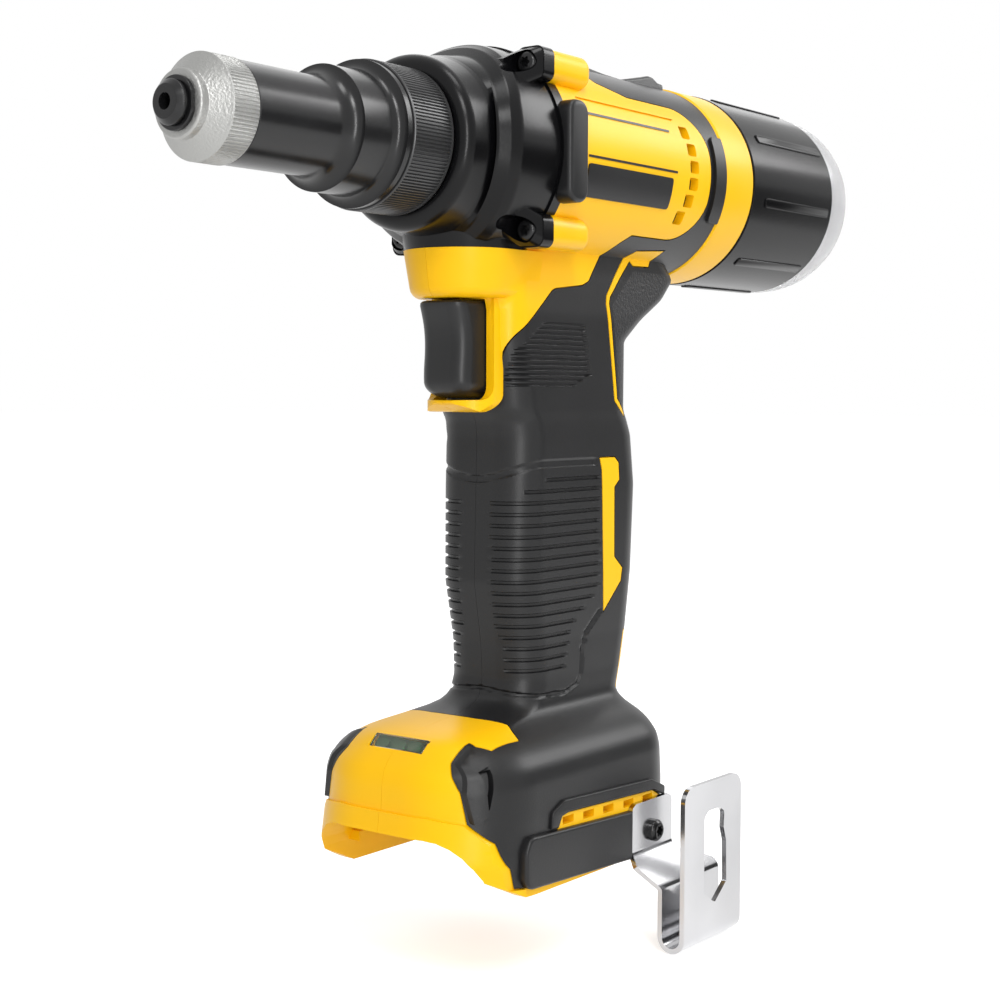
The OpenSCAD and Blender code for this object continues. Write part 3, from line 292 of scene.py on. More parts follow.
slot_finish = {
    "yellow_shell": finish("yellow_shell", (0.93, 0.51, 0.002), 0.36, scale=1800, depth=0.02,
        tone=0.05, Specular_IOR_Level=0.22),
    "grip_rubber": finish("soft_black_rubber", (0.0085, 0.0085, 0.009), 0.38, scale=2200, depth=0.05,
        tone=0.2, Specular_IOR_Level=0.32),
    "black_plastic": finish("dark_plastic", (0.009, 0.009, 0.0095), 0.36, scale=1500, depth=0.02,
        tone=0.2, Specular_IOR_Level=0.34),
    "gloss_black": finish("gloss_black_case", (0.002, 0.002, 0.0024), 0.24, scale=700, depth=0.02,
        tone=0.25, Specular_IOR_Level=0.2),
    "black_steel": finish("blackened_steel", (0.007, 0.007, 0.0075), 0.24, effect=lathe, scale=1500,
        depth=0.01, tone=0.25, Specular_IOR_Level=0.35),
    "bare_alloy": finish("sand_cast_alloy", (0.34, 0.34, 0.33), 0.42, metal=0.85, scale=1500,
        depth=0.3, tone=0.2),
    "steel": finish("machined_steel", (0.5, 0.5, 0.51), 0.3, metal=1.0, effect=lathe, scale=2200,
        depth=0.01),
    # Painted reflection: the hook's strong, broad tone drift gives lighter and darker patches that stand in
    # for the changing reflections along the polished strip.
    "hook_steel": finish("polished_strip", (0.46, 0.46, 0.47), 0.16, metal=1.0, scale=1500,
        depth=0.006, tone=0.3, spread=0.04),
    "smoked_plastic": finish("smoked_plastic", (0.004, 0.004, 0.0045), 0.22, scale=1300, depth=0.03,
        tone=0.2, Specular_IOR_Level=0.14),
    "clear_lens": finish("clear_lens", (0.88, 0.86, 0.8), 0.12, scale=900, depth=0.02, tone=0.04,
        Transmission_Weight=1.0, IOR=1.45),
    "seal_rubber": finish("seal_rubber", (0.012, 0.012, 0.012), 0.5, scale=2600, depth=0.02, tone=0.2),
    "lamination": finish("stacked_sheet", (0.2, 0.21, 0.23), 0.42, metal=0.8, effect=lathe, scale=3000,
        depth=0.05),
    "copper": finish("enamelled_copper", (0.55, 0.2, 0.06), 0.28, metal=0.9, scale=1600, depth=0.04),
    "magnet": finish("ground_magnet", (0.12, 0.12, 0.13), 0.4, metal=0.7, scale=2000, depth=0.02),
    "board": finish("green_board", (0.012, 0.1, 0.03), 0.3, scale=1200, depth=0.02, tone=0.2),
    "wire": finish("wire_jacket", (0.42, 0.012, 0.01), 0.45, scale=1500, depth=0.02),
    "contact": finish("plated_contact", (0.7, 0.48, 0.16), 0.26, metal=1.0, scale=2000, depth=0.01),
}
coarse = finish("coarse_black_rubber", (0.018, 0.018, 0.019), 0.45, scale=1100, depth=0.3, tone=0.3,
    Specular_IOR_Level=0.35)
knurled = finish("knurled_steel", (0.04, 0.04, 0.041), 0.3, metal=0.3, effect=lathe, scale=1500,
    depth=0.01, tone=0.25, Specular_IOR_Level=0.5)
# A lighter, clearer copy of the smoked plastic for the container's end: painted light, standing in for the
# light that shines through it.
light_through_end = finish("painted_light_end", (0.8, 0.8, 0.81), 0.26, scale=1500, depth=0.02, tone=0.06,
    Transmission_Weight=0.75, IOR=1.3)
print("finishes:", len(bpy.data.materials))

# %% [markdown]
# ## Inside parts
# Jaws, screw, gears, motor and electronics keep their solids, because their shapes are already right.
# They only need a finish, which the record's slot of each node picks.

# %% Finish the solids that stay
for part in frame["record"]["subparts"]:
    solid = frame["nodes"][part["node"]]
    solid.data.materials.clear()
    solid.data.materials.append(slot_finish[part["material_slot"]])

# %% [markdown]
# ## Drawing tools
# Three ways of drawing make nearly all of this tool: an outline turned about the barrel's axis, a flat
# outline pushed out to a plate, and a Boolean that joins or cuts two closed shapes. Corners are rounded
# in the outline itself, before any Boolean, because a bevel on a dense Boolean result has no room to work
# in.


# %% Outlines
def soft(points, closed=True, steps=6):
    """Rounds the corners that come with a radius: (a, b) stays sharp and (a, b, r) becomes an arc."""
    flat = []
    last = len(points) - 1
    for i, point in enumerate(points):
        here = Vector(point[:2])
        if len(point) == 2 or (not closed and i in (0, last)):
            flat.append(tuple(here))
            continue
        back = Vector(points[i - 1][:2]) - here
        on = Vector(points[(i + 1) % len(points)][:2]) - here
        half = back.angle(on) / 2
        reach = min(point[2] / tan(half), back.length * 0.48, on.length * 0.48)
        back.normalize()
        on.normalize()
        centre = here + (back + on).normalized() * hypot(reach, reach * tan(half))
        first = here + back * reach - centre
        final = here + on * reach - centre
        turn = atan2(first.cross(final), first.dot(final))
        for k in range(steps + 1):
            flat.append(tuple(centre + Matrix.Rotation(turn * k / steps, 2) @ first))
    return flat


def rect(a, b, half_a, half_b, r):
    """A rounded rectangle about the point (a, b)."""
    return soft([(a + i * half_a, b + j * half_b, r) for i, j in ((-1, -1), (1, -1), (1, 1), (-1, 1))])


def grown(points, d):
    """A closed outline with every side moved outwards by d."""
    area = sum(p[0] * q[1] - q[0] * p[1] for p, q in zip(points, points[1:] + points[:1]))
    sign = 1 if area > 0 else -1
    moved = []
    for i, point in enumerate(points):
        a = Vector(point) - Vector(points[i - 1])
        b = Vector(points[(i + 1) % len(points)]) - Vector(point)
        a = Vector((a.y, -a.x)).normalized() * sign
        b = Vector((b.y, -b.x)).normalized() * sign
        middle_way = (a + b) / max(0.3, 1 + a.dot(b))
        moved.append(tuple(Vector(point) + middle_way * d))
    return moved


# %% Solids from outlines
def spun(outline, steps=144, closed=True):
    """An outline of (x, radius) turned once about the barrel's axis, on which an open one starts and ends."""
    bm = bmesh.new()
    verts = [bm.verts.new((x, 0, r)) for x, r in outline]
    pairs = list(zip(verts, verts[1:]))
    if closed:
        pairs.append((verts[-1], verts[0]))
    edges = [bm.edges.new(pair) for pair in pairs]
    bmesh.ops.spin(
        bm, geom=verts + edges, cent=(0, 0, 0), axis=(1, 0, 0), angle=2 * pi, steps=steps, use_merge=True
    )
    bmesh.ops.remove_doubles(bm, verts=bm.verts, dist=0.001)
    bmesh.ops.recalc_face_normals(bm, faces=bm.faces)
    return bm


PLANES = {"xz": (0, 2, 1), "yz": (1, 2, 0), "xy": (0, 1, 2)}


def plate(outline, low, high, plane="xz"):
    """A flat outline in one plane, pushed from low to high across it."""
    a, b, across = PLANES[plane]
    bm = bmesh.new()
    corners = []
    for point in outline:
        place = [0.0, 0.0, 0.0]
        place[a], place[b], place[across] = point[0], point[1], low
        corners.append(bm.verts.new(place))
    pushed = bmesh.ops.extrude_face_region(bm, geom=[bm.faces.new(corners)])
    way = [0.0, 0.0, 0.0]
    way[across] = high - low
    bmesh.ops.translate(bm, verts=[g for g in pushed["geom"] if isinstance(g, bmesh.types.BMVert)], vec=way)
    bmesh.ops.recalc_face_normals(bm, faces=bm.faces)
    return bm


def box(low, high):
    """A block between two corners."""
    bm = bmesh.new()
    bmesh.ops.create_cube(bm, size=1.0)
    bmesh.ops.scale(bm, vec=[h - l for l, h in zip(low, high)], verts=bm.verts)
    bmesh.ops.translate(bm, vec=[(h + l) / 2 for l, h in zip(low, high)], verts=bm.verts)
    return bm


def bar(x_low, x_high, r, y=0.0, z=0.0, steps=48):
    """A round bar along the barrel."""
    bm = spun([(x_low, 0), (x_low, r), (x_high, r), (x_high, 0)], steps, closed=False)
    return moved(bm, (0, y, z))


def cross_bar(x, z, y_low, y_high, r, steps=32):
    """A round bar from side to side."""
    return moved(turned(bar(y_low, y_high, r, steps=steps), pi / 2, "Z"), (x, 0, z))


# %% Booleans
def boolean(first, second, operation):
    """The Boolean of two closed shapes, as a new shape."""
    holders = []
    for shape in (first, second):
        mesh = bpy.data.meshes.new("work")
        shape.to_mesh(mesh)
        holder = bpy.data.objects.new("work", mesh)
        scene.collection.objects.link(holder)
        holders.append(holder)
    step = holders[0].modifiers.new("step", "BOOLEAN")
    step.operation = operation
    step.solver = "MANIFOLD"
    step.object = holders[1]
    result = bmesh.new()
    result.from_object(holders[0], bpy.context.evaluated_depsgraph_get())
    for holder in holders:
        mesh = holder.data
        bpy.data.objects.remove(holder)
        bpy.data.meshes.remove(mesh)
    if not result.faces:
        print("an empty result of", operation)
    return result


def plus(first, *others):
    for other in others:
        first = boolean(first, other, "UNION")
    return first


def minus(first, *others):
    for other in others:
        first = boolean(first, other, "DIFFERENCE")
    return first


def common(first, *others):
    for other in others:
        first = boolean(first, other, "INTERSECT")
    return first


def mirrored(shape):
    """A copy of a shape on the tool's other side."""
    bm = shape.copy()
    bmesh.ops.scale(bm, vec=(1, -1, 1), verts=bm.verts)
    bmesh.ops.reverse_faces(bm, faces=bm.faces)
    return bm


def tube(x_low, x_high, outer, inner, steps=192):
    """A bar with a round hole all along it."""
    return minus(bar(x_low, x_high, outer, steps=steps), bar(x_low - 1, x_high + 1, inner, steps=steps))


X, Y, Z = 0, 1, 2


def above(axis, limit):
    """A test for edges that lie wholly above a limit on one axis."""
    return lambda edge: min(v.co[axis] for v in edge.verts) > limit


def below(axis, limit):
    """A test for edges that lie wholly below a limit on one axis."""
    return lambda edge: max(v.co[axis] for v in edge.verts) < limit


def rounded(shape, width, segments=4, chosen=None):
    """A clean shape with its edges bevelled; chosen says which edges take part."""
    edges = [e for e in shape.edges if e.calc_face_angle(0) > 0.5 and (chosen is None or chosen(e))]
    bmesh.ops.bevel(
        shape, geom=edges, offset=width, offset_type="OFFSET", segments=segments, profile=0.5,
        affect="EDGES", clamp_overlap=True, material=-1,
    )
    return shape


# %% Finished pieces
SHARP_ANGLE = 32
made = []


def piece(name, shape, node, slot, body="tool", material=None):
    """Turns a shape into an object that rides on a body and stands for a CAD node."""
    loose = sum(1 for e in shape.edges if not e.is_manifold)
    volume = shape.calc_volume()
    bmesh.ops.dissolve_degenerate(shape, dist=0.0004, edges=shape.edges)
    bmesh.ops.scale(shape, vec=(MM, MM, MM), verts=shape.verts)
    mesh = bpy.data.meshes.new(name)
    shape.to_mesh(mesh)
    mesh.shade_smooth()
    mesh.set_sharp_from_angle(angle=radians(SHARP_ANGLE))
    mesh.materials.append(material or slot_finish[slot])
    thing = bpy.data.objects.new(name, mesh)
    scene.collection.objects.link(thing)
    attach(thing, body)
    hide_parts(node)
    made.append(name)
    print(name, len(mesh.polygons), "faces,", round(volume), "mm3,", loose, "open edges")
    return thing


def sides(name, shape, node, slot):
    """A piece on the left and its mirror image on the right."""
    piece("left_" + name, shape.copy(), "left_" + node, slot)
    piece("right_" + name, mirrored(shape), "right_" + node, slot)


# %% [markdown]
# ## Nose
# The rivet's mandrel goes into a small nosepiece with two flats, which screws into a sand-cast cap. A
# real one is turned on a lathe, so the outlines are turned here too. The cap's knurl is made by moving
# every other pair of the outline's turned points inwards, which is cheaper and crisper than cutting each
# groove.


# %% Knurling
def knurl(shape, x_low, x_high, teeth, depth, r_low):
    """Presses straight grooves into the band between x_low and x_high. The shape has four steps a tooth."""
    for v in shape.verts:
        r = hypot(v.co.y, v.co.z)
        if x_low <= v.co.x <= x_high and r > r_low:
            place = round(atan2(v.co.y, v.co.z) / (2 * pi) * teeth * 4) % 4
            if place > 1:
                v.co.y *= (r - depth) / r
                v.co.z *= (r - depth) / r
    return shape


# %% Nosepiece and cap
tip_outline = [
    (0, 2.1), (0, 4.3, 0.3), (1.4, 5.7, 0.4), (2.5, 5.7, 0.3), (2.5, 5.2), (2.9, 5.2), (2.9, 6.85, 0.3),
    (4.1, 6.85), (4.1, 4.95), (10.1, 4.95), (10.1, 2.1),
]
flats = box((-1, -6.35, -9), (20, 6.35, 9))
piece("nosepiece_dressed", common(spun(soft(tip_outline), 96), flats), "nosepiece", "black_steel")
cap_outline = [
    (4.1, 5.0), (4.1, 8.7, 0.7), (6.6, 8.7, 0.5), (10.0, 12.9, 0.8), (10.5, 13.6, 0.2), (11.0, 13.6),
    (18.9, 13.6), (19.0, 13.6), (19.5, 13.1, 0.2), (19.5, 11.55), (13.2, 11.55), (13.2, 10.75), (9.9, 10.75),
    (9.9, 5.0),
]
cap = knurl(spun(soft(cap_outline), 84 * 4), 10.95, 18.95, 84, 0.3, 13)
piece("nose_cap_dressed", cap, "nose_cap", "bare_alloy")

# %% Sleeve
flare = [(48.5 + 5.4 * sin(radians(a)), 13.3 + 3.7 * (1 - cos(radians(a)))) for a in range(0, 91, 10)]
shoulder = [(64.5 + 3.0 * sin(radians(a)), 17.0 + 3.2 * (1 - cos(radians(a)))) for a in range(0, 91, 15)]
sleeve_outline = (
    [(13.5, 10.35), (13.5, 11.5), (19.5, 11.5), (19.5, 13.0), (19.8, 13.3)] + flare + shoulder
    + [(69.2, 20.2), (69.5, 19.9), (69.5, 17.3), (75.8, 17.3), (75.8, 10.35)]
)
sleeve = minus(spun(sleeve_outline, 192), box((56, -2.4, -12.5), (77, 2.4, 12.5)))
piece("nose_sleeve_dressed", sleeve, "nose_sleeve", "black_steel")

# %% Lock collar
collar_outline = soft([
    (69.8, 17.65), (69.8, 20.4, 0.2), (70.1, 20.7, 0.1), (70.25, 20.7), (70.35, 20.7), (85.2, 20.7),
    (85.3, 20.7), (86.1, 20.7, 0.3), (86.5, 20.3, 0.2), (86.5, 17.65),
])
collar = knurl(spun(collar_outline, 132 * 4), 70.3, 85.25, 132, 0.5, 20)
piece("lock_collar_dressed", collar, "lock_collar", "black_steel", "lock_collar", knurled)

# %% [markdown]
# ## Gearcase
# A cast and painted case holds the screw drive. It is a bell: a hub, a soft dome, a shallow valley and a
# plain cheek. Four ears carry the screws that hold it to the housing, and the casting is scooped out in
# front of each ear so that a driver can reach the screw. The dome's fold is drawn forwards on both sides
# and back on top, which leaves a broad cheek on each side.

# %% Gearcase
EAR = 23.8
CASE_BACK = 122
BLOCK_TOP = -28.8
FOLD_FRONT, FOLD_BACK, FOLD_EASE = 90, 120, 12
ring_low, ring_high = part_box("ring_gear")
carrier_low, carrier_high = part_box("planet_carrier")
seat_r = ring_high[2] / MM + 0.15
seat_x = carrier_low[0] / MM - 0.3
hub_round = [(86.8 + 4 * (1 - cos(radians(a))), 21 + 4 * sin(radians(a))) for a in range(0, 91, 10)]
bell = [(93, 25.0), (97.6, 25.6, 1), (99.5, 26.0, 2), (102.5, 27.3, 3), (105.5, 30.0, 2.5),
        (108.5, 31.3, 3), (113, 31.5), (CASE_BACK, 31.5)]
bell_outline = (
    [(76.6, 12.4), (76.6, 17.3), (86.8, 17.3)] + hub_round + bell
    + [(CASE_BACK, seat_r), (seat_x, seat_r), (seat_x, 20.5), (90.4, 20.5), (90.4, 12.4)]
)
case = spun(soft(bell_outline), 192)
for v in case.verts:
    r = hypot(v.co.y, v.co.z)
    if r > seat_r and FOLD_FRONT < v.co.x < FOLD_BACK:
        rise = v.co.z / r
        move = (11.0 if rise > 0 else 5.0) * rise * rise - 5.0
        v.co.x += move * min(1, (v.co.x - FOLD_FRONT) / FOLD_EASE, (FOLD_BACK - v.co.x) / FOLD_EASE)


def capsule(x_low, x_high, r, y, z):
    """A bar with a round front end."""
    nose = [(x_low + r * (1 - cos(radians(a))), r * sin(radians(a))) for a in range(0, 91, 10)]
    return moved(spun(nose + [(x_high, r), (x_high, 0)], 40, closed=False), (0, y, z))


def square_bar(x_low, x_high, half, y, z, lean=0.0, soften=0.55):
    """A rounded square bar along the barrel. Its front end leans towards the axis."""
    bm = plate(rect(y, z, half, half, half * soften), x_low, x_high, "yz")
    for v in bm.verts:
        if v.co.x < (x_low + x_high) / 2:
            v.co.y -= copysign(lean, y)
            v.co.z -= copysign(lean, z)
    return bm


BLOCK_X = 115.8
BLOCK_R = 16.4
chin_front = [
    (BLOCK_X - BLOCK_R * sin(radians(a)), BLOCK_R * cos(radians(a))) for a in range(0, 181, 6)
]
chin = plate([(CASE_BACK, -BLOCK_R), (CASE_BACK, BLOCK_R)] + chin_front, BLOCK_TOP, -8, "xy")
for v in chin.verts:
    v.co.y *= 1.25 if v.co.z > -10 else 1.06
    if v.co.x < BLOCK_X:
        v.co.x = BLOCK_X + (v.co.x - BLOCK_X) * (1.45 if v.co.z > -10 else 1.06)
case = plus(case, minus(chin, bar(70, seat_x, 20.5), bar(seat_x - 0.01, 123, seat_r)))
ears = [(y, z) for y in (-EAR, EAR) for z in (-EAR, EAR)]
for y, z in ears:
    case = plus(case, square_bar(117.0, CASE_BACK, 4.95, y, z), square_bar(109, 117.6, 4.9, y, z, 4.2))
case = minus(case, bar(70, seat_x, 20.5), bar(seat_x - 0.01, 123, seat_r, steps=192))
for y, z in ears:
    case = minus(case, capsule(103, 117.5, 3.7, y, z), bar(117, 123, 2.1, y, z))
under_lip = box((120, -60, -60), (130, 60, BLOCK_TOP))
lip = minus(tube(121.9, 126, 32.1, 29.95), under_lip, *[square_bar(121, 127, 5.0, y, z) for y, z in ears])
piece("gearcase_dressed", plus(case, lip), "gearcase", "gloss_black")

# %% Gearcase screws
lobes = []
for k in range(36):
    a = 2 * pi * k / 36
    lobes.append(((1.55 + 0.3 * cos(6 * a)) * cos(a), (1.55 + 0.3 * cos(6 * a)) * sin(a)))
head_outline = [(0, 0), (0, 2.6, 1.2), (1.2, 3.4, 0.8), (3.2, 3.4), (3.2, 2.0), (21.7, 2.0), (21.7, 0)]
head = spun(soft(head_outline, closed=False), 40, closed=False)
head = minus(head, plate(lobes, -1, 1.9, "yz"))
screws = plus(*[moved(head.copy(), (114.3, y, z)) for y, z in ears])
piece("gearcase_screws_dressed", screws, "gearcase_screws", "black_steel")

# %% [markdown]
# ## Grip and foot
# The grip and the foot are one long moulding whose level sections change slowly: a rounded rectangle with
# its front, back, half width and two corner radii at each height. A grid is wrapped round these sections,
# so the finger grooves can be pressed in by moving the grid's own points, as a mould maker cuts them into
# the tool.

# %% Sections of the grip
SECTIONS = np.array([
    (-214, 79.5, 182, 35.5, 26.5, 15), (-203, 76.8, 182, 35.5, 26, 15), (-192, 78.4, 182, 35.5, 26.5, 15),
    (-182, 79, 182, 35, 26.5, 15), (-178, 80, 182, 33.8, 26, 15), (-174.5, 83, 181.7, 31, 24, 15),
    (-172, 85.4, 181.6, 27.5, 21.5, 15), (-169.5, 87.8, 181.5, 21.3, 17.3, 14),
    (-168, 105, 181.5, 19.1, 15, 13), (-166.3, 118, 181.5, 17.5, 12, 13), (-163.5, 123.5, 182, 17.1, 11, 12),
    (-158, 125.2, 183.5, 16.8, 11, 11), (-147, 124.6, 186.2, 16.7, 11, 11),
    (-128, 121.3, 188.5, 17.2, 11, 11), (-100, 122, 189.5, 17.6, 11, 11),
    (-84, 122.5, 188.1, 17.6, 11, 12), (-79, 121.8, 186.9, 17.3, 11, 13), (-76.2, 120.2, 186.3, 17, 10, 14),
    (-54, 117, 186.5, 17, 9, 14), (-47, 117, 196, 17, 9, 14), (-40, 117, 208.5, 16.5, 9, 13),
    (-33, 117, 215.5, 16, 9, 12), (-27, 117, 209.5, 16, 9, 12), (-22, 117, 200.5, 16, 9, 12),
])


def section(z, d):
    """Front, back, half width and corner radii at height z, drawn in by d."""
    heights = SECTIONS[:, 0]
    near = (-0.9, -0.3, 0.3, 0.9)
    front, back, half, front_r, back_r = [
        np.mean([np.interp(z + e, heights, SECTIONS[:, k]) for e in near]) for k in range(1, 6)
    ]
    return front + d, back - d, half - d, max(1.0, front_r - d), max(1.0, back_r - d)


PARTS = (6, 14, 46, 10, 5)


def half_ring(z, d):
    """The left half of a section from front to back: rows of x, y and outward way, and the run along it."""
    front, back, half, front_r, back_r = section(z, d)
    points = []
    for k in range(PARTS[0]):
        points.append((front, -(half - front_r) * k / PARTS[0], -1, 0))
    for k in range(PARTS[1]):
        a = pi / 2 * k / PARTS[1]
        points.append((front + front_r * (1 - cos(a)), front_r - half - front_r * sin(a), -cos(a), -sin(a)))
    for k in range(PARTS[2]):
        points.append((front + front_r + (back - back_r - front - front_r) * k / PARTS[2], -half, 0, -1))
    for k in range(PARTS[3]):
        a = pi / 2 * k / PARTS[3]
        points.append((back - back_r + back_r * sin(a), back_r - half - back_r * cos(a), sin(a), -cos(a)))
    for k in range(PARTS[4] + 1):
        points.append((back, (back_r - half) * (1 - k / PARTS[4]), 1, 0))
    points = np.array(points, float)
    run = np.concatenate(([0], np.cumsum(np.hypot(*np.diff(points[:, :2], axis=0).T))))
    return points, run


# %% Grooves of the grip
SLOT_Z = [-97 - 3.4 * i for i in range(18)]
SLOT_START = [25, 17] + [6.2] * 12 + [8, 8.5, 9, 9]
SLOT_END = [163] * 11 + [160, 155, 150, 148, 147, 146, 145]
RIB_Z = [-49.9 - 1.54 * k for k in range(13)]
RIB_PATCH = [(135, -49), (154, -49), (158, -65), (148, -69), (121, -69), (120, -66), (121.5, -58)]
LOW_LINE = [(0, -160.5), (20, -162.5), (34, -163), (40, -161), (42, -150), (44, -145.8), (53, -139.5)]


def ramp(value, low, high):
    """0 below low, 1 above high and a soft rise between."""
    t = np.clip((value - low) / (high - low), 0, 1)
    return t * t * (3 - 2 * t)


def inside(outline, x, z):
    """True for the points that lie in a flat outline."""
    hit = np.zeros(len(x), bool)
    for (xa, za), (xb, zb) in zip(outline, outline[1:] + outline[:1]):
        if (za > z) != (zb > z):
            hit ^= x < xa + (z - za) * (xb - xa) / (zb - za)
    return hit


def groove_depth(points, run, z):
    """How far each point of a half section at height z is pressed in."""
    x = points[:, 0]
    depth = np.zeros(len(x))
    for middle_z, begin, stop in zip(SLOT_Z, SLOT_START, SLOT_END):
        across = 1 - ramp(abs(z - middle_z), 0.36, 0.64)
        if across > 0:
            along = ramp(run, begin - 0.4, begin + 0.8) * (1 - ramp(x, stop - 0.8, stop + 0.4)) * (run < 80)
            depth = np.maximum(depth, 0.85 * across * along)
    band = -92.1 - 4.6 * (1 - ramp(run, 0, 24))
    depth = np.maximum(depth, 0.5 * (1 - ramp(abs(z - band), 0.85, 1.25)) * (1 - ramp(run, 50, 51.5)))
    near = np.full(len(x), 99.0)
    for (ra, za), (rb, zb) in zip(LOW_LINE, LOW_LINE[1:]):
        dr, dz = rb - ra, zb - za
        t = np.clip(((run - ra) * dr + (z - za) * dz) / (dr ** 2 + dz ** 2), 0, 1)
        near = np.minimum(near, np.hypot(run - ra - t * dr, z - za - t * dz))
    depth = np.maximum(depth, 0.7 * (1 - ramp(near, 0.3, 0.85)))
    for middle_z in RIB_Z:
        across = 1 - ramp(abs(z - middle_z), 0.2, 0.5)
        if across > 0:
            depth = np.maximum(depth, 0.65 * across * inside(RIB_PATCH, x, z) * (run < 80))
    return depth


def level_list(fine):
    """Heights of the grid's rows: even ones, and in a fine grid also the edges of each groove."""
    rows = set(np.arange(-214, -22 + 0.01, 1.2).round(3)) | {-22.0}
    if fine:
        rows |= set(np.arange(-164, -138, 0.45).round(3)) | set(np.arange(-99, -89, 0.4).round(3))
        for z in SLOT_Z:
            rows -= {r for r in rows if abs(r - z) < 0.75 and r > -163.5}
            rows |= {z - 0.66, z - 0.5, z - 0.36, z, z + 0.36, z + 0.5, z + 0.66}
        for z in RIB_Z:
            rows -= {r for r in rows if abs(r - z) < 0.6}
            rows |= {z - 0.5, z - 0.3, z, z + 0.3, z + 0.5}
    return sorted(rows)


# %% Wrapped grid
def wrapped(table):
    """A grid whose rows follow a table of points, closed at both ends."""
    around = len(table[0]) - 1
    bm = bmesh.new()
    bmesh.ops.create_grid(bm, x_segments=around, y_segments=len(table) - 1, size=1.0)
    for v in bm.verts:
        v.co = table[round((v.co.y + 1) / 2 * (len(table) - 1))][round((v.co.x + 1) / 2 * around)]
    bmesh.ops.remove_doubles(bm, verts=bm.verts, dist=0.0005)
    bmesh.ops.holes_fill(bm, edges=[e for e in bm.edges if e.is_boundary], sides=0)
    bmesh.ops.recalc_face_normals(bm, faces=bm.faces)
    return bm


def loft(d=0.0, fine=False):
    """The closed body of grip and foot, drawn in by d, with its grooves if fine."""
    rows = level_list(fine)
    table = []
    for z in rows:
        points, run = half_ring(z, d)
        if fine:
            depth = groove_depth(points, run, z)
            points[:, 0] -= points[:, 2] * depth
            points[:, 1] -= points[:, 3] * depth
        left = [(x, y, z) for x, y in points[:, :2]]
        table.append(left + [(x, -y, z) for x, y, _ in left[-2::-1]])
    return wrapped(table)


body_plain = loft()
body_core = loft(2.1)
body_grooved = loft(0.0, True)
print("grip grids:", len(body_plain.faces), len(body_core.faces), len(body_grooved.faces))

# %% [markdown]
# ## Two colours
# The hard yellow shell is moulded first, and the soft black skin is moulded round it in a second shot.
# Here one closed zone says where the skin lies. The shell is cut with the zone and the skin is kept
# inside it, with a hair's gap between them, which reads as the fine parting line of the real part.

# %% Zone of the black skin
PANEL_R = 15
corner = []
for a in range(-90, 91, 10):
    rise = sin(radians(a))
    z = -21.6 + PANEL_R * (1 + rise) if a < 0 else 20.8 - PANEL_R * (1 - rise)
    corner.append((190 + PANEL_R * cos(radians(a)), z))
SKIN = (
    [(97, -71), (118.2, -71, 2), (119.6, -55, 8), (139, -39.4, 6), (154.5, -37.6), (158, -36.2, 3),
     (167.5, -24, 3), (170.5, -21.6, 1)]
    + corner + [(166, 20.8, 4), (152, 24, 2), (152, 37), (253.5, 37), (253.5, -165), (97, -165)]
)
FRONT_GUARD = [(-19.3, -160), (-19.7, -175), (-24.6, -182.6), (-26.4, -191.2), (-31.9, -196.9),
               (-34.1, -204.7), (-34.1, -222), (-60, -222), (-60, -160)]
DECK = [(94.4, -21.8), (97.1, -25.7), (109.8, -26.1), (113.4, -19.1), (111.4, -8), (111.4, 8),
        (113.4, 19.1), (109.8, 26.1), (97.1, 25.7), (94.4, 21.8)]
INLAY = [(162.2, -90.7), (171, -90.7), (173.4, -92.7), (173.9, -98.4), (171.2, -100.6), (171.8, -122.7),
         (176.5, -126.6), (175.7, -131.1), (165.9, -140.5), (163.6, -94.9)]
TANG = [(180, -25.2), (195, -24.2), (192.4, -29.9), (183.1, -30.1), (181.2, -28.7), (169.5, -40.6),
        (168.9, -42.5), (173.4, -72.3), (178.7, -76.8), (178, -78.6), (171.5, -73.4), (166.7, -42.7),
        (167.2, -40), (177.4, -27.4)]
REAR_LINE = [(178.4, -147), (184, -147), (181, -163), (177.5, -166.5), (174, -165.5)]
UNDER_LINE = [(90, -218), (90, -210.4), (98.4, -210.9), (153, -213.2), (156, -218)]
VENT_STRIP = [(114.7, -198.4), (116.9, -193.6), (120.5, -192.9), (166.4, -194.6), (172.1, -197.3),
              (172.1, -199.5)]


def side_plates(outline, y_low=6):
    """A side outline pushed out on both sides of the tool."""
    return plus(plate(outline, y_low, 60), plate(outline, -60, -y_low))


def skin_zone(d):
    """The closed zone of the black skin, grown by d."""
    finger_gap = box((92, d - 11.5, -70 + d), (133 - d, 11.5 - d, -43))
    zone = minus(plate(grown(soft(SKIN), d), -60, 60), finger_gap)
    foot = plus(box((111.5 - d, -60, -222), (250, 60, -165)), *[
        plate(grown([(y * side, z) for y, z in FRONT_GUARD], d), 74, 118, "yz") for side in (1, -1)
    ])
    foot = common(foot, box((60, -70, -230), (260, 70, -165)))
    zone = plus(zone, minus(foot, plate(grown(DECK, -d), -174.5, -150, "xy")))
    for outline in (INLAY, TANG, REAR_LINE, VENT_STRIP, UNDER_LINE):
        zone = minus(zone, side_plates(grown(outline, -d)))
    return zone


zone_skin = skin_zone(0.0)
zone_shell = skin_zone(0.35)
print("skin zone faces:", len(zone_skin.faces))

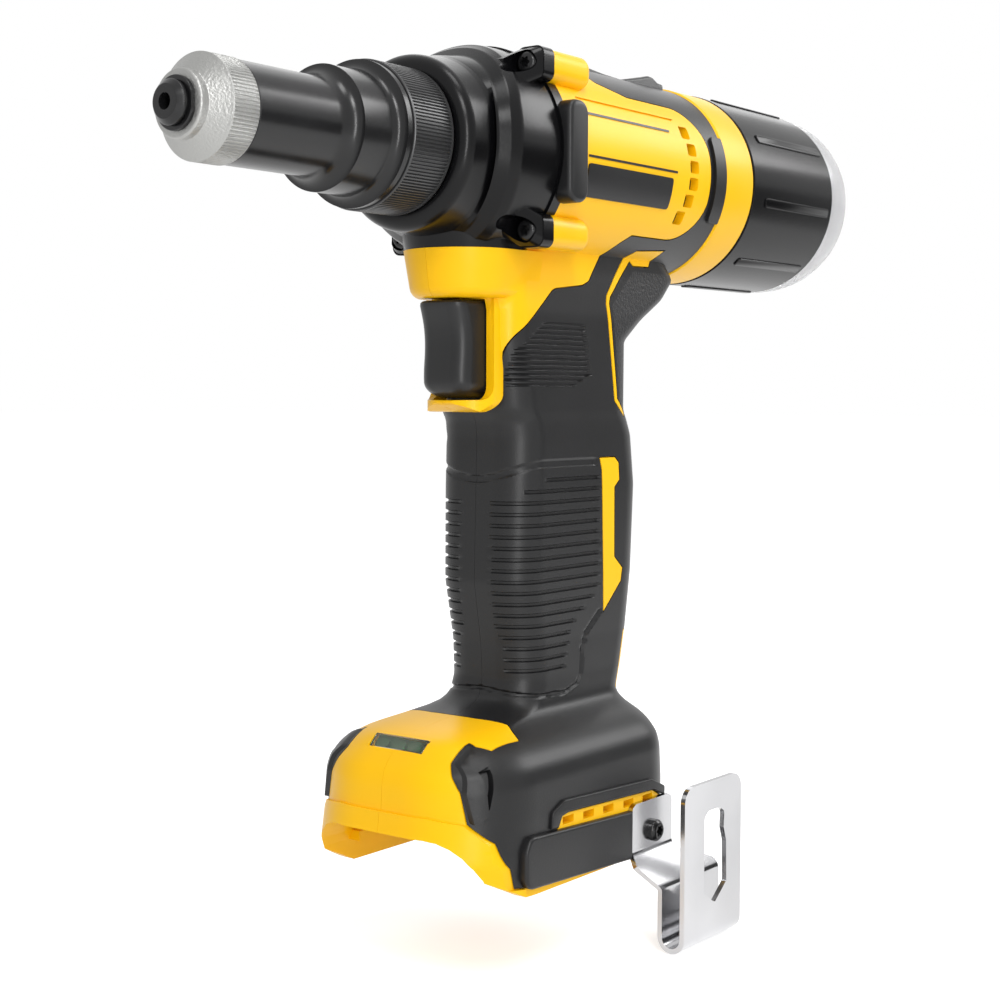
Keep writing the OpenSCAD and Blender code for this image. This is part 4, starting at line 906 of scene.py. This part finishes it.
# %% Rooms inside the shell
bay = plus(
    plate(soft([(-31, -244), (31, -244), (31, -194, 7), (-31, -194, 7)]), 101, 173, "yz"),
    plate(soft([(-31, -244), (31, -244), (31, -196, 15), (-31, -196, 15)]), 59, 102, "yz"),
)
rails = plus(box((98, -32, -207), (152.3, -26, -204)), box((98, 26, -207), (152.3, 32, -204)))
HOOK_X, HOOK_Z = 164.3, -206.8
bosses = plus(cross_bar(HOOK_X, HOOK_Z, -32, -28, 5), cross_bar(HOOK_X, HOOK_Z, 28, 32, 5))
tips = plate([(50, -230), (50, -202), (77, -203), (101, -214), (102, -230)], -60, 60)
LIGHT = (86, 0, -171.2)
light_room = moved(turned(box((-2.6, -10.2, -9), (2.6, 10.2, 3)), -pi / 4, "Y"), LIGHT)
rooms = plus(
    bar(121, 196, 28.5, steps=144), bar(195, 203.2, 14.1), bar(195, 215, 5.9),
    box((97, -9, -72.8), (120, 9, -43.2)), box((119.6, -12.2, -73.6), (175.5, 12.2, -43.5)),
    box((133, -12.2, -143), (175.5, 12.2, -73.2)), box((138, -12.2, -162), (175.5, 12.2, -142)),
    box((140, -8, -45), (175.5, 8, -26.8)), box((110, -26.5, -190), (166, 26.5, -176)),
    box((138, -11, -180), (166, 11, -160)), box((130, -15.2, -195), (168, 15.2, -189)), light_room,
    minus(bay, rails, bosses), tips,
)
rooms = plus(rooms, *[bar(121, 137, 2.15, y, z) for y, z in ears])
hook_hole = cross_bar(HOOK_X, HOOK_Z, -50, 50, 2.1)
SCREWS = [(128.5, -84), (132.5, -152), (179.9, -62), (179.9, -112), (105, -183), (171, -183), (205, 20),
          (205, -20)]
wells = plus(*[plus(cross_bar(x, z, -10, 12, 2.1), cross_bar(x, z, 8.4, 60, 3.4)) for x, z in SCREWS])
print("rooms:", len(rooms.faces), "faces")

# %% Yellow shell
case_room = plus(bar(104, CASE_BACK, 31.6, steps=144), box((76, -60, BLOCK_TOP - 0.05), (CASE_BACK, 60, 60)))
ring_room = bar(213.45, 240, 32.9, steps=144)
block = plate([(132, -BLOCK_R), (132, BLOCK_R)] + chin_front, -43, BLOCK_TOP, "xy")
block = rounded(block, 3.0, 5, below(Z, -42))
for v in block.verts:
    grow = 0.94 + 0.14 * (v.co.z + 43) / 14.2
    v.co.y *= grow
    if v.co.x < BLOCK_X:
        v.co.x = BLOCK_X + (v.co.x - BLOCK_X) * grow
web = plate(soft([(113.6, -15.8, 10), (136, -15.8), (136, 15.8), (113.6, 15.8, 10)]), -62, -41, "xy")
for v in web.verts:
    if v.co.z < -60:
        v.co.y *= 0.72
        v.co.x += 4.5
rim_side = soft([
    (115.6, -40), (115.6, -72.8, 6), (106.8, -72.9), (106.2, -73.5, 0.4), (107.0, -74.2, 0.6),
    (113, -77.2, 9), (119.2, -73.8, 9), (121.6, -62, 12), (122, -56), (122, -40),
])
rim_plan = [(123, -12.2), (123, 12.2)]
rim_plan += [(118.3 - 12.2 * sin(radians(a)), 12.2 * cos(radians(a))) for a in range(0, 181, 6)]
rim_front = soft([(-12.3, -39), (-12.3, -77.4, 6), (12.3, -77.4, 6), (12.3, -39)], steps=10)
rim = common(plate(rim_side, -13, 13), plate(rim_plan, -80, -39, "xy"), plate(rim_front, 100, 126, "yz"))
FLARE = [(-16.6, -189.9), (-26.5, -191.4), (-40, -192.5), (-40, -216), (40, -216), (40, -192.5),
         (26.5, -191.4), (16.6, -189.9)]
flare = common(minus(loft(-0.9), loft(1.5)), plate(FLARE, 70, 100, "yz"))
lower = plus(minus(plus(body_plain, web, flare), zone_shell), body_core, block, rim)
lower = minus(lower, case_room, ring_room)
BARREL_R = 32
LIP_BACK = 126.05
barrel = minus(bar(LIP_BACK, 213.4, BARREL_R, steps=192), zone_shell)
barrel = plus(barrel, bar(CASE_BACK, 213.4, 29.85, steps=192))
for y, z in ears:
    back = square_bar(121.9, 142, 4.9, y, z, 0.0, 0.8)
    barrel = plus(barrel, rounded(back, 3.6, 6, above(X, 141)))
lip_room = tube(121.5, LIP_BACK, 33, 29.9)
lip_room = minus(lip_room, under_lip, *[square_bar(121, 127, 4.95, y, z) for y, z in ears])
shell = minus(plus(minus(lower, lip_room), barrel), rooms, hook_hole)


def window_row(places, half_x, half_z, round_r):
    """A row of rounded holes from side to side, at places (x, z)."""
    return plus(*[plate(rect(x, z, half_x, half_z, round_r), -50, 50) for x, z in places])


vent_places = [(194.6 - z * z / 55, z) for z in [12.4 - 5.4 * i for i in range(6)]]
shell = minus(shell, minus(window_row(vent_places, 2.6, 2.0, 0.8), bar(100, 240, 26)))
strip_places = [(121, -195.3), (131.5, -195.7), (142, -196.1), (153, -196.5), (163.7, -196.8)]
strip_windows = window_row(strip_places, 2.8, 1.15, 0.3)
shell = minus(shell, minus(strip_windows, box((100, -28, -200), (180, 28, -190))))
crease = plate([(134, 15.6), (186, 15.6), (188, 16.4), (134, 16.4)], -50, 50)
shell = minus(shell, common(tube(130, 190, 33, 31.5), crease))
left_space = box((0, -70, -260), (330, -0.04, 70))
right_space = box((0, 0.04, -260), (330, 70, 70))
piece("left_shell", common(shell, left_space), "left_housing", "yellow_shell")
piece("right_shell", minus(common(shell, right_space), wells), "right_housing", "yellow_shell")

# %% Black skin
bumper_room = box((163.9, -11.1, 20), (208.1, 11.1, 45))
grip_skin = common(minus(body_grooved, loft(2.0)), zone_skin)
grip_skin = minus(grip_skin, bar(100, 240, 30), ring_room, bay, tips, hook_hole)
NOTCH = [(92.6, -176.6), (89.2, -177.2), (88.6, -190.2), (90.2, -187)]
notch = common(minus(loft(-2), loft(1.5)), plus(plate(NOTCH, -60, -17), plate(NOTCH, 17, 60)))
grip_skin = minus(grip_skin, notch)
barrel_skin = common(tube(CASE_BACK, 213.3, BARREL_R, 30), zone_skin)
barrel_skin = minus(barrel_skin, *[bar(121, 146, 4.6, y, z) for y, z in ears], bumper_room)
pad_side = plate(soft([(206.6, -15, 2), (213.2, -15, 0.5), (213.2, 13, 0.5), (206.6, 13, 2)]), -40, 40)
pads = common(tube(206, 213.25, 33, 31), pad_side)
# Painted shade: a dark rubber sheet inside the barrel behind the vents darkens their depths and closes the
# view through them.
vent_shade_sheet = common(tube(186, 199, 29.2, 28.6, 48), box((180, -40, -17), (205, 40, 16)))
skin = plus(grip_skin, barrel_skin, pads, vent_shade_sheet)
REAR = [(183.5, -31.5), (240, -31.5), (240, -80.5), (180.6, -79.6), (174.6, -72.2), (170.2, -43)]
rear_zone = plate(REAR, -60, 60)
left_grip = common(skin, left_space)
right_grip = minus(common(skin, right_space), wells)
for side, half_skin in (("left", left_grip), ("right", right_grip)):
    node = side + "_grip"
    piece(side + "_skin", minus(half_skin, rear_zone), node, "grip_rubber")
    piece(side + "_tang_pad", common(half_skin, rear_zone), node, "grip_rubber", material=coarse)


# %% Lower blocks of the foot
def proud(outline, y_out, width, segments=5):
    """A plate on the foot's left side with a rounded outer rim."""
    return rounded(plate(soft(outline), y_out, -34.5), width, segments, below(Y, y_out + 0.1))


SIDE_BLOCK = [(98.3, -200.6, 3), (100.5, -196.5, 3), (153.1, -198.9, 1), (153, -213.8, 1), (98.3, -211.5, 4)]
block_side = proud(SIDE_BLOCK, -37.5, 2.0)
block_side = minus(block_side, tips, common(bay, box((50, -31, -250), (200, 31, -190))))
LEDGE = [(111.7, -196.4), (112.3, -191.7, 2), (118.3, -189, 2), (165.1, -191, 3), (172.6, -194.4, 1),
         (172.4, -197.2), (166.4, -194.6), (120.5, -192.9), (116.9, -193.6), (115.2, -196.7)]
ledge = proud(LEDGE, -36.5, 0.5, 3)
ARM = [(92.9, -171), (86.6, -174.9, 2), (84.5, -182.6, 4), (85.6, -191.6, 0.5), (88.9, -188.9, 0.5),
       (88.7, -176.9), (92.2, -175.5), (94.4, -172.6)]
arm = common(minus(loft(-1.2), loft(0.8)), plate(soft(ARM), -60, -17))
sides("foot_block", plus(block_side, ledge, arm), "grip", "grip_rubber")

# %% [markdown]
# ## Bumpers and bare plates
# Small rubber bumpers stand on the barrel where the tool lies on a bench, and a thin plate lies on each
# side panel. They are cut from plates by the barrel's own round, so they sit on it without a gap.

# %% Bumpers and plates
pad = plate(soft([(122.3, -15.5, 4), (132, -15.5, 4), (132, 14, 4), (122.3, 14, 4)]), -34.4, -24)
pad = minus(rounded(pad, 1.4, 4, below(Y, -34)), bar(100, 200, BARREL_R + 0.05, steps=144))
pad = minus(pad, *[bar(100, 150, 4.7, y, z) for y, z in ears])
sides("bumper_dressed", pad, "bumper", "grip_rubber")
HUMP = [(164, 20), (164, 31.3, 1), (174, 30.6, 20), (184, 30.3, 10), (196, 32.7, 4), (200, 33.7, 3),
        (202.5, 33.5, 3), (205.5, 32.2, 2), (208, 32.05), (208, 20)]


def hump_rim(edge):
    """True for the upper edges that run along the sides of the hump."""
    a, b = (v.co for v in edge.verts)
    return min(a.z, b.z) > 24 and abs(a.y - b.y) < 0.1


hump = minus(rounded(plate(soft(HUMP), -11, 11), 1.0, 3, hump_rim), bar(100, 240, 30, steps=192))
piece("top_bumper_dressed", hump, "top_bumper", "grip_rubber")
tag = plate(soft([(135, -12.8, 1), (181.5, -12.8, 1), (181.5, -3.2, 1), (135, -3.2, 1)]), -40, -20)
lines = plus(plate([(134, 11.4), (182, 11.4), (182, 12.1), (134, 12.1)], -40, -20),
             plate([(135, -1.4), (184, -1.4), (184, -0.7), (135, -0.7)], -40, -20))
tag = plus(
    common(tube(CASE_BACK, 213, 32.5, 32.05, 288), tag),
    common(tube(CASE_BACK, 213, 32.25, 32.05, 288), lines),
)
sides("plate", tag, "label", "black_plastic")

# %% [markdown]
# ## Ring and container
# Behind the barrel a yellow ring carries the smoked container, which catches the spent mandrels. The
# container is turned with a real wall, ribs for grip are joined on, and its end is a piece of its own,
# in a lighter, clearer copy of the smoked plastic: painted light for the light that shines through it.

# %% Rear ring
ring_outline = soft([
    (213.5, 5.9), (213.5, 32.0, 0.5), (214.2, 32.5, 0.5), (231.4, 32.5, 0.5), (232.0, 32.0, 0.3),
    (232.0, 30.1), (236.3, 30.1), (236.3, 28.6), (238.7, 28.6), (238.7, 30.1), (242.0, 30.1, 0.4),
    (242.3, 29.6), (242.3, 26), (217.5, 26), (217.5, 5.9),
])
piece("rear_ring_dressed", spun(ring_outline, 192), "rear_ring", "yellow_shell")

# %% Container
CUT = 289.0


def end_round(flat_r, wide, corner_len, x_flat):
    """The rounded end of the container, from its side to its flat."""
    turns = [radians(a) for a in range(0, 91, 5)]
    return [(x_flat - corner_len + corner_len * sin(a), flat_r + wide * cos(a)) for a in turns]


outer_round = end_round(23.7, 9.0, 20.0, 311.1)
inner_round = end_round(23.7, 7.0, 18.0, 309.1)
chain = [(314.6, 0), (314.6, 14.2), (314.2, 14.6), (311.4, 15.0), (311.1, 15.3)] + outer_round[::-1]
chain += [(232.6, 32.7), (232.3, 32.4), (232.3, 30.7)] + inner_round + [(309.1, 0)]
wall = spun(chain, 192, closed=False)
rib_outline = soft([(240.3, -1.7, 1.2), (286.3, -1.7, 1.2), (286.3, 1.7, 1.2), (240.3, 1.7, 1.2)])
rib = rounded(plate(rib_outline, 31.7, 33.2, "xy"), 0.4, 2, above(Z, 33))
wall = plus(wall, *[turned(rib.copy(), radians(20 + 40 * k), "X") for k in range(9)])
front_of_cut = box((200, -60, -60), (CUT, 60, 60))
bowl = common(wall, front_of_cut)
piece("container_body", bowl, "mandrel_container", "smoked_plastic", "container")
# The end piece takes the lighter copy: painted light shining through the smoked plastic.
piece("container_end", minus(wall, front_of_cut), "mandrel_container", "smoked_plastic", "container", light_through_end)

# %% [markdown]
# ## Trigger and work light
# The trigger is a hollow-faced finger pad, wide and soft at its corners. A grid is wrapped round its
# level sections as on the grip, so the hollow and the round lower end come from the sections themselves.

# %% Trigger
FACE = np.array([
    (-72.2, 105.6), (-69, 104.8), (-65, 104.6), (-58, 105.3), (-53, 105.1), (-49, 104.3), (-46, 103.2),
    (-43.7, 102.5),
])
TRIGGER_LOW, TRIGGER_HIGH = -72.2, -43.7


def edge_round(e, r):
    """How far a side draws in at distance e from a rounded end of radius r."""
    return r - sqrt(max(0.0, r * r - (r - e) ** 2)) if e < r else 0.0


finger_rows = []
end_rows = {-72.15, -72.0, -71.8, -71.5, -43.72, -43.8, -44.0}
heights = sorted(set(np.linspace(TRIGGER_LOW, TRIGGER_HIGH, 40)) | end_rows)
for z in heights:
    front = np.mean([np.interp(z + e, FACE[:, 0], FACE[:, 1]) for e in (-2.4, -1.2, 0, 1.2, 2.4)])
    inset = edge_round(z - TRIGGER_LOW, 4.5) + edge_round(TRIGGER_HIGH - z, 1.2)
    front += inset
    half = 8.6 - inset
    side = [(122, -half, z)]
    for a in range(0, 91, 6):
        side.append((front + 5 * (1 - sin(radians(a))), 5 - half - 5 * cos(radians(a)), z))
    finger_rows.append(side + [(x, -y, z) for x, y, _ in side[::-1]] + side[:1])
trigger = wrapped(finger_rows)
trigger = plus(trigger, box((119.9, -9.9, -71), (122, 9.9, -45)))
TRAVEL_ROOM = 7.0
spring_low, spring_high = [[v / MM for v in corner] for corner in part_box("trigger_spring")]
spring_y, spring_z = [(a + b) / 2 for a, b in zip(spring_low[1:], spring_high[1:])]
spring_r = (spring_high[2] - spring_low[2]) / 2
print("spring seat from x", round(spring_low[0], 1), "with radius", round(spring_r, 1))
trigger = minus(trigger, bar(spring_low[0] - TRAVEL_ROOM, 123, spring_r + 0.4, spring_y, spring_z))
piece("trigger_dressed", trigger, "trigger", "black_plastic", "trigger")

# %% Work light
window = rounded(box((-2.4, -10, -2.6), (2.4, 10, -0.5)), 0.4, 3)
piece("work_light_window", moved(turned(window, -pi / 4, "Y"), LIGHT), "light_lens", "clear_lens")

# %% [markdown]
# ## Belt hook
# The hook is one bent strip of polished steel. A flat grid follows the strip's middle line in side view
# while its two edges follow the stamped outline, and a solidify step gives it the sheet's thickness.

# %% Belt hook
path = soft([(-36.4, -197), (-36.4, -212.5, 3), (-44.6, -222.5, 3), (-44.6, -237.4)], closed=False, steps=8)
path += [(-48.6 + 4 * cos(radians(a)), -237.4 - 4 * sin(radians(a))) for a in range(10, 180, 10)]
path += [(-52.6, -237.4), (-52.6, -190.6)]
steps = [hypot(b[0] - a[0], b[1] - a[1]) for a, b in zip(path, path[1:])]
lengths = np.concatenate(([0], np.cumsum(steps)))
tip_rows = lengths[-1] - np.array([4, 3, 2, 1.2, 0.6, 0.25])
stations = sorted(set(np.concatenate((np.linspace(0, lengths[-1], 110), lengths, tip_rows)).round(3)))
bm = bmesh.new()
columns = 40
bmesh.ops.create_grid(bm, x_segments=columns, y_segments=len(stations) - 1, size=1.0)
for v in bm.verts:
    s = stations[round((v.co.y + 1) / 2 * (len(stations) - 1))]
    y = np.interp(s, lengths, [p[0] for p in path])
    z = np.interp(s, lengths, [p[1] for p in path])
    low, high = 156.9, 190.9
    if y > -45.0 and z > -230:
        low = np.interp(-z, (213, 216, 223), (152.8, 151.3, 156.9))
        high = np.interp(-z, (213, 214.5, 220.5), (175.3, 175.8, 190.9))
    inset = max(edge_round(lengths[-1] - s, 5), edge_round(s, 2))
    v.co = (low + inset + (high - low - 2 * inset) * (v.co.x + 1) / 2, y, z)
bmesh.ops.recalc_face_normals(bm, faces=bm.faces)
sheet_mesh = bpy.data.meshes.new("hook_sheet")
bm.to_mesh(sheet_mesh)
sheet_thing = bpy.data.objects.new("hook_sheet", sheet_mesh)
scene.collection.objects.link(sheet_thing)
thicken = sheet_thing.modifiers.new("thicken", "SOLIDIFY")
thicken.thickness = 1.6
thicken.offset = 0.0
strip = bmesh.new()
strip.from_object(sheet_thing, bpy.context.evaluated_depsgraph_get())
bpy.data.objects.remove(sheet_thing)
bpy.data.meshes.remove(sheet_mesh)
bmesh.ops.recalc_face_normals(strip, faces=strip.faces)
slot_outline = [(0, 4.5, 0.8), (0, 28, 1.5), (2.4, 29.8, 1.5), (9, 29.8, 1.5), (12, 28, 1.5), (11.6, 23, 1.5),
                (13.2, 18.5, 1.5), (13.6, 5.5, 0.8), (6.4, 0, 0.8)]
hanger = plate([(x + 168.5, z - 229.5) for x, z in soft(slot_outline)], -60, -48)
hook = minus(strip, hanger, cross_bar(HOOK_X, HOOK_Z, -45, -30, 2.4))
hook_piece = piece("belt_hook_dressed", hook, "belt_hook", "hook_steel")
edge = hook_piece.modifiers.new("edge", "BEVEL")
edge.width = 0.3 * MM
edge.segments = 2
edge.limit_method = "ANGLE"
edge.angle_limit = radians(55)
edge.use_clamp_overlap = True

# %% Hook screw
pan_outline = [(-2.6, 0), (-2.6, 2.4, 0.9), (-1.6, 3.4, 0.8), (0, 3.4), (0, 1.9), (8, 1.9), (8, 0)]
pan = spun(soft(pan_outline, closed=False), 40, closed=False)
pan = turned(minus(pan, plate(lobes, -4, -1.0, "yz")), pi / 2, "Z")
piece("hook_screw_dressed", moved(pan, (HOOK_X, -37.2, HOOK_Z)), "hook_screw", "black_steel")

# %% [markdown]
# ## Floor
# The tool stands on the hook's bend. The floor is a plain pale sheet that keeps the soft shadow. For the
# camera it glows a little, so that it meets the white surround without a line.

# %% Floor
ground = bmesh.new()
bmesh.ops.create_grid(ground, x_segments=8, y_segments=8, size=12.0)
floor, floor_shader = stage_sheet("floor", moved(ground, (0, 0, cad_low[2] - 0.0004)), 0.86)
floor_shader.inputs["Specular IOR Level"].default_value = 0.0
floor_shader.inputs["Emission Color"].default_value = (1, 1, 1, 1)
by_sight(floor.data.materials[0].node_tree, 0.0, 0.62, floor_shader.inputs["Emission Strength"])
print("floor at", round(cad_low[2] / MM, 1), "mm")

# %% [markdown]
# ## Pieces made
# The number of dressed pieces is printed at the end. The dressed tool has to stay inside the box
# of its solids.

# %% Count the pieces
print("pieces made:", len(made))
